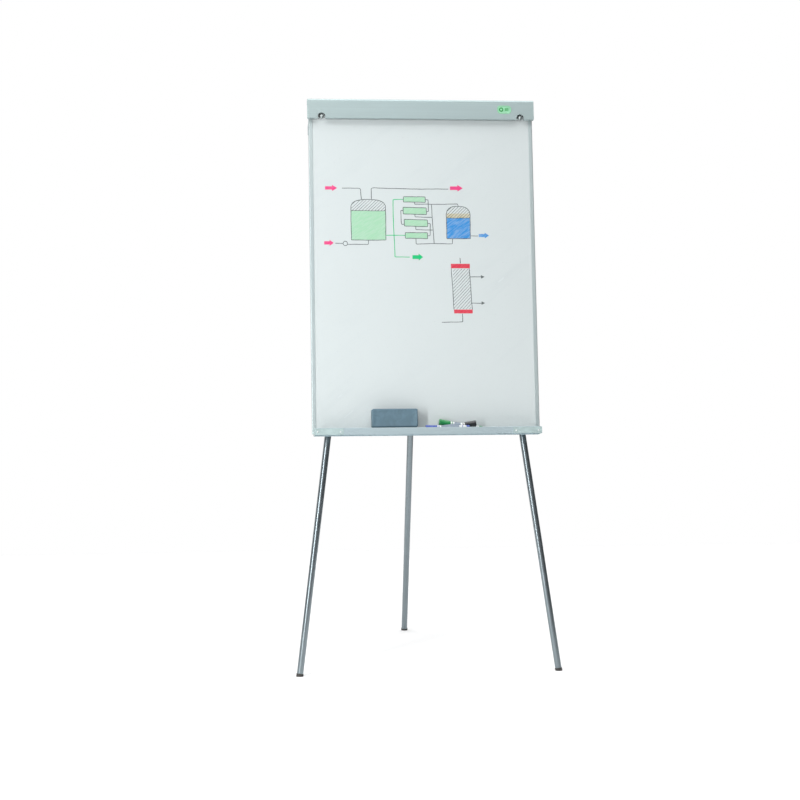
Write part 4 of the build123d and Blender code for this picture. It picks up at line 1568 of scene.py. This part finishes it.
# ---- Finishes of this easel, and the machined nodes that wear them ----
def palette(lean: float) -> dict[str, Finish]:
    """Every finish of the easel.

    Args:
        lean: the board's lean, in radians.

    Returns:
        The finishes, by slot name or, for what has no slot of its own, by use.
    """
    drawn = {"lean": lean, "rough": 0.38, "metal": 0.5}
    return {
        "writing_enamel": Enamel("writing_enamel_gloss", (0.575, 0.627, 0.632)),
        "core_board": Honeycomb("core_honeycomb", (0.55, 0.42, 0.28)),
        "back_sheet_coat": Extrusion(
            "back_sheet_rolled", (0.6, 0.63, 0.65), Grain.UP_BOARD, lean, rough=0.42, metal=0.7, dust=0.0
        ),
        "frame_aluminium": Extrusion("frame_drawn_across", (0.52, 0.6, 0.605), **drawn),
        "frame_aluminium_up": Extrusion("frame_drawn_up", (0.52, 0.6, 0.605), Grain.UP_BOARD, **drawn),
        "clamp_coat": Extrusion("clamp_anodised", (0.395, 0.485, 0.485), lean=lean, metal=0.35),
        "tray_coat": Extrusion("tray_anodised", (0.46, 0.56, 0.59), lean=lean, metal=0.4, dust=0.6),
        "cap_plastic": Moulded("cap_moulding", (0.37, 0.47, 0.47), 0.42, 0.00001),
        "rivet_bright": Plated("rivet_aluminium", (0.85, 0.88, 0.88), 0.3),
        "screw_steel": Plated("zinc_plate", (0.62, 0.63, 0.64), 0.3),
        "spring_steel": Plated("spring_wire", (0.42, 0.42, 0.43), 0.35),
        "peg_steel": Plated("peg_nickel", (0.66, 0.72, 0.72), 0.48),
        "grip_rubber": Moulded("grip_strip_rubber", (0.30, 0.33, 0.335), 0.7, 0.00003),
        "badge_green": Moulded("badge_enamel", (0.26, 0.58, 0.36), 0.3, 0.000004, gloss=0.5),
        "badge_ring": Moulded("badge_ring", (0.002, 0.25, 0.035), 0.35, 0.000004),
        "bracket_coat": PowderCoat("bracket_powder", (0.36, 0.43, 0.45)),
        "leg_tube": SteelTube("leg_tube_plated", (0.225, 0.265, 0.285)),
        "leg_plastic": Moulded("leg_fitting_nylon", (0.035, 0.04, 0.045), 0.48, 0.00002),
        "foot_rubber": Moulded("foot_ferrule_rubber", (0.022, 0.023, 0.025), 0.75, 0.00004, 0.6),
        "eraser_shell": Moulded("eraser_grip_plastic", (0.098, 0.17, 0.217), 0.55, 0.00003),
        "eraser_pad": Felt("eraser_felt_grey", (0.05, 0.065, 0.085)),
        "marker_blue": Moulded("marker_cap_blue", (0.012, 0.05, 0.33), 0.28, 0.000005, gloss=0.4),
        "marker_black": Moulded("marker_cap_black", (0.012, 0.013, 0.016), 0.28, 0.000005, gloss=0.4),
        "marker_green": Moulded("marker_cap_green", (0.008, 0.24, 0.06), 0.28, 0.000005, gloss=0.4),
        "marker_white": Moulded("marker_barrel_white", (0.66, 0.69, 0.69), 0.3, 0.000004, gloss=0.3),
        "marker_label": Moulded("marker_label_slate", (0.20, 0.25, 0.31), 0.4, 0.000004),
        "ink_black": Ink("ink_black", (0.05, 0.068, 0.072), 0.2),
        "ink_green": Ink("ink_pale_green", (0.33, 0.60, 0.40), 0.3),
        "ink_blue": Ink("ink_blue", (0.02, 0.235, 0.60), 0.32),
        "ink_pink": Ink("ink_pink", (0.73, 0.038, 0.20), 0.1),
        "ink_red": Ink("ink_red", (0.63, 0.026, 0.06), 0.1),
        "ink_leaf": Ink("ink_leaf_green", (0.0, 0.47, 0.16), 0.03),
        "ink_sand": Ink("ink_sand", (0.51, 0.475, 0.32), 0.45),
    }


def dress_nodes(loaded: Mapping[str, object]) -> int:
    """Give every machined node the finish of its slot.


    Returns:
        How many nodes were dressed.
    """
    for part in loaded["record"]["subparts"]:
        name = part["node"]
        upright = name in ("frame_rail_left", "frame_rail_right")
        coat = PALETTE[part["material_slot"] + ("_up" if upright else "")].material()
        mesh = loaded["nodes"][name].data
        mesh.materials.clear()
        mesh.materials.append(coat)
    return len(loaded["record"]["subparts"])


# ---- Studio ----
@dataclass(frozen=True)
class Glow:
    """A soft part of the surroundings.

    Args:
        towards: direction in which it lies.
        low: cosine from its middle at which it begins to show.
        high: cosine at which it is at its brightest.
        strength: how much it adds.
    """

    towards: Colour
    low: float
    high: float
    strength: float


@dataclass(frozen=True)
class Lamp:
    """A soft rectangular lamp.

    Args:
        name: the lamp's name.
        place: where it hangs, in metres.
        towards: the point that it is aimed at.
        size: its width and height, in metres.
        power: power in watts.
    """

    name: str
    place: Colour
    towards: Colour
    size: tuple[float, float]
    power: float

    def hang(self) -> None:
        """Put the lamp in the scene."""
        data = bpy.data.lights.new(self.name, "AREA")
        data.shape = "RECTANGLE"
        data.size, data.size_y = self.size
        data.energy = self.power
        made = bpy.data.objects.new(self.name, data)
        back = np.array(self.place) - np.array(self.towards)
        made.matrix_world = Axes.facing(self.place, back, (1.0, 0.0, 0.0)).matrix()
        bpy.context.scene.collection.objects.link(made)


@dataclass
class Studio:
    """White floor, soft surroundings, a few soft lamps and the camera.

    Args:
        eye: the camera's place, in metres.
        yaw: its turn towards +X, in degrees.
        pitch: how far it looks down, in degrees.
        roll: its roll, in degrees.
        lens: focal length in millimetres, on a 36 mm sensor.
        shade: brightness of the surroundings where nothing glows.
        glows: soft parts of the surroundings.
        lamps: the lamps.
        reach: half the floor's side, in metres.
    """

    eye: Colour = (-0.596, -5.4755, 1.0135)
    yaw: float = 5.69
    pitch: float = 2.07
    roll: float = -0.21
    lens: float = 76.64
    shade: float = 0.12
    glows: tuple[Glow, ...] = (
        Glow((0.0, 0.0, 1.0), 0.6, 0.95, 2.45),
        Glow((-0.3, -0.92, 0.35), 0.6, 0.95, 0.3),
        Glow((-0.75, 0.62, 0.2), 0.72, 0.97, 0.7),
    )
    lamps: tuple[Lamp, ...] = (
        Lamp("key", (-0.3, -1.3, 2.9), (0.0, 0.0, 1.6), (2.0, 0.6), 13.0),
        Lamp("strip", (-2.0, -2.6, 1.3), (0.0, 0.0, 1.0), (0.25, 2.4), 58.0),
    )
    reach: float = 2.6

    def surroundings(self) -> None:
        """Light the scene by direction, and show plain white behind it."""
        world = bpy.data.worlds.new("studio")
        world.use_nodes = True
        bpy.context.scene.world = world
        graph = Graph(world.node_tree)
        way = graph.node("ShaderNodeTexCoord", output="Generated")
        total: Value = self.shade
        for glow in self.glows:
            towards = tuple(np.array(glow.towards) / np.linalg.norm(glow.towards))
            near = graph.node(
                "ShaderNodeVectorMath", {"operation": "DOT_PRODUCT"}, {0: way, 1: towards}, "Value"
            )
            total = near.step(glow.low, glow.high) * glow.strength + total
        seen = graph.node("ShaderNodeLightPath", output="Is Camera Ray")
        strength = total + (1.0 - total) * seen
        light = {"Color": (1.0, 1.0, 1.0, 1.0), "Strength": strength}
        graph.end("ShaderNodeOutputWorld", graph.node("ShaderNodeBackground", None, light))

    def floor(self) -> bpy.types.Object:
        """Lay a large white floor.

        Returns:
            The floor.
        """
        mesh = bpy.data.meshes.new("studio_floor")
        corners = self.reach * np.array([(-1, -1, 0), (1, -1, 0), (1, 1, 0), (-1, 1, 0)])
        mesh.from_pydata(corners.tolist(), [], [(0, 1, 2, 3)])
        mesh.materials.append(StudioFloor("studio_floor", (0.93, 0.93, 0.93)).material())
        made = bpy.data.objects.new("studio_floor", mesh)
        bpy.context.scene.collection.objects.link(made)
        return made

    def camera(self) -> bpy.types.Object:
        """Stand the camera at its place.

        Returns:
            The camera.
        """
        yaw, pitch, roll = (math.radians(angle) for angle in (self.yaw, self.pitch, self.roll))
        level = math.cos(pitch)
        ahead = np.array([math.sin(yaw) * level, math.cos(yaw) * level, -math.sin(pitch)])
        right = np.array([math.cos(yaw), -math.sin(yaw), 0.0])
        above = np.cross(right, ahead)
        side = right * math.cos(roll) + above * math.sin(roll)
        data = bpy.data.cameras.new("camera")
        data.lens = self.lens
        data.sensor_width = 36.0
        made = bpy.data.objects.new("camera", data)
        basis = np.array([side, np.cross(-ahead, side), -ahead])
        made.matrix_world = Axes(np.array(self.eye), basis).matrix()
        bpy.context.scene.collection.objects.link(made)
        bpy.context.scene.camera = made
        return made

    def build(self) -> None:
        """Set up the floor, lights, camera and plain colour view."""
        self.surroundings()
        self.floor()
        self.camera()
        for lamp in self.lamps:
            lamp.hang()
        bpy.context.scene.view_settings.view_transform = "Standard"


# ---- The whole easel ----
LAYOUT = Layout(frame)
PALETTE = palette(LAYOUT.lean)


def main() -> None:
    """Dress the machined nodes, build every new piece, then the studio."""
    logging.basicConfig(level=logging.INFO, format="%(name)s: %(message)s")
    LOG.info("%d machined nodes dressed", dress_nodes(frame))
    fixings = Fixings(LAYOUT)
    made = [fixings.screws(), fixings.rivets(), fixings.pegs(), Badge(LAYOUT).build()]
    for name in ("front_left", "front_right", "rear"):
        made += Leg(LAYOUT, name).build()
    eraser = Eraser(LAYOUT)
    made += [eraser.grip(), eraser.pad()]
    for colour in ("blue", "black", "green"):
        made += Marker(LAYOUT, colour).build()
    made += FlowDiagram(LAYOUT).build()
    Studio().build()


if __name__ == "__main__":
    main()
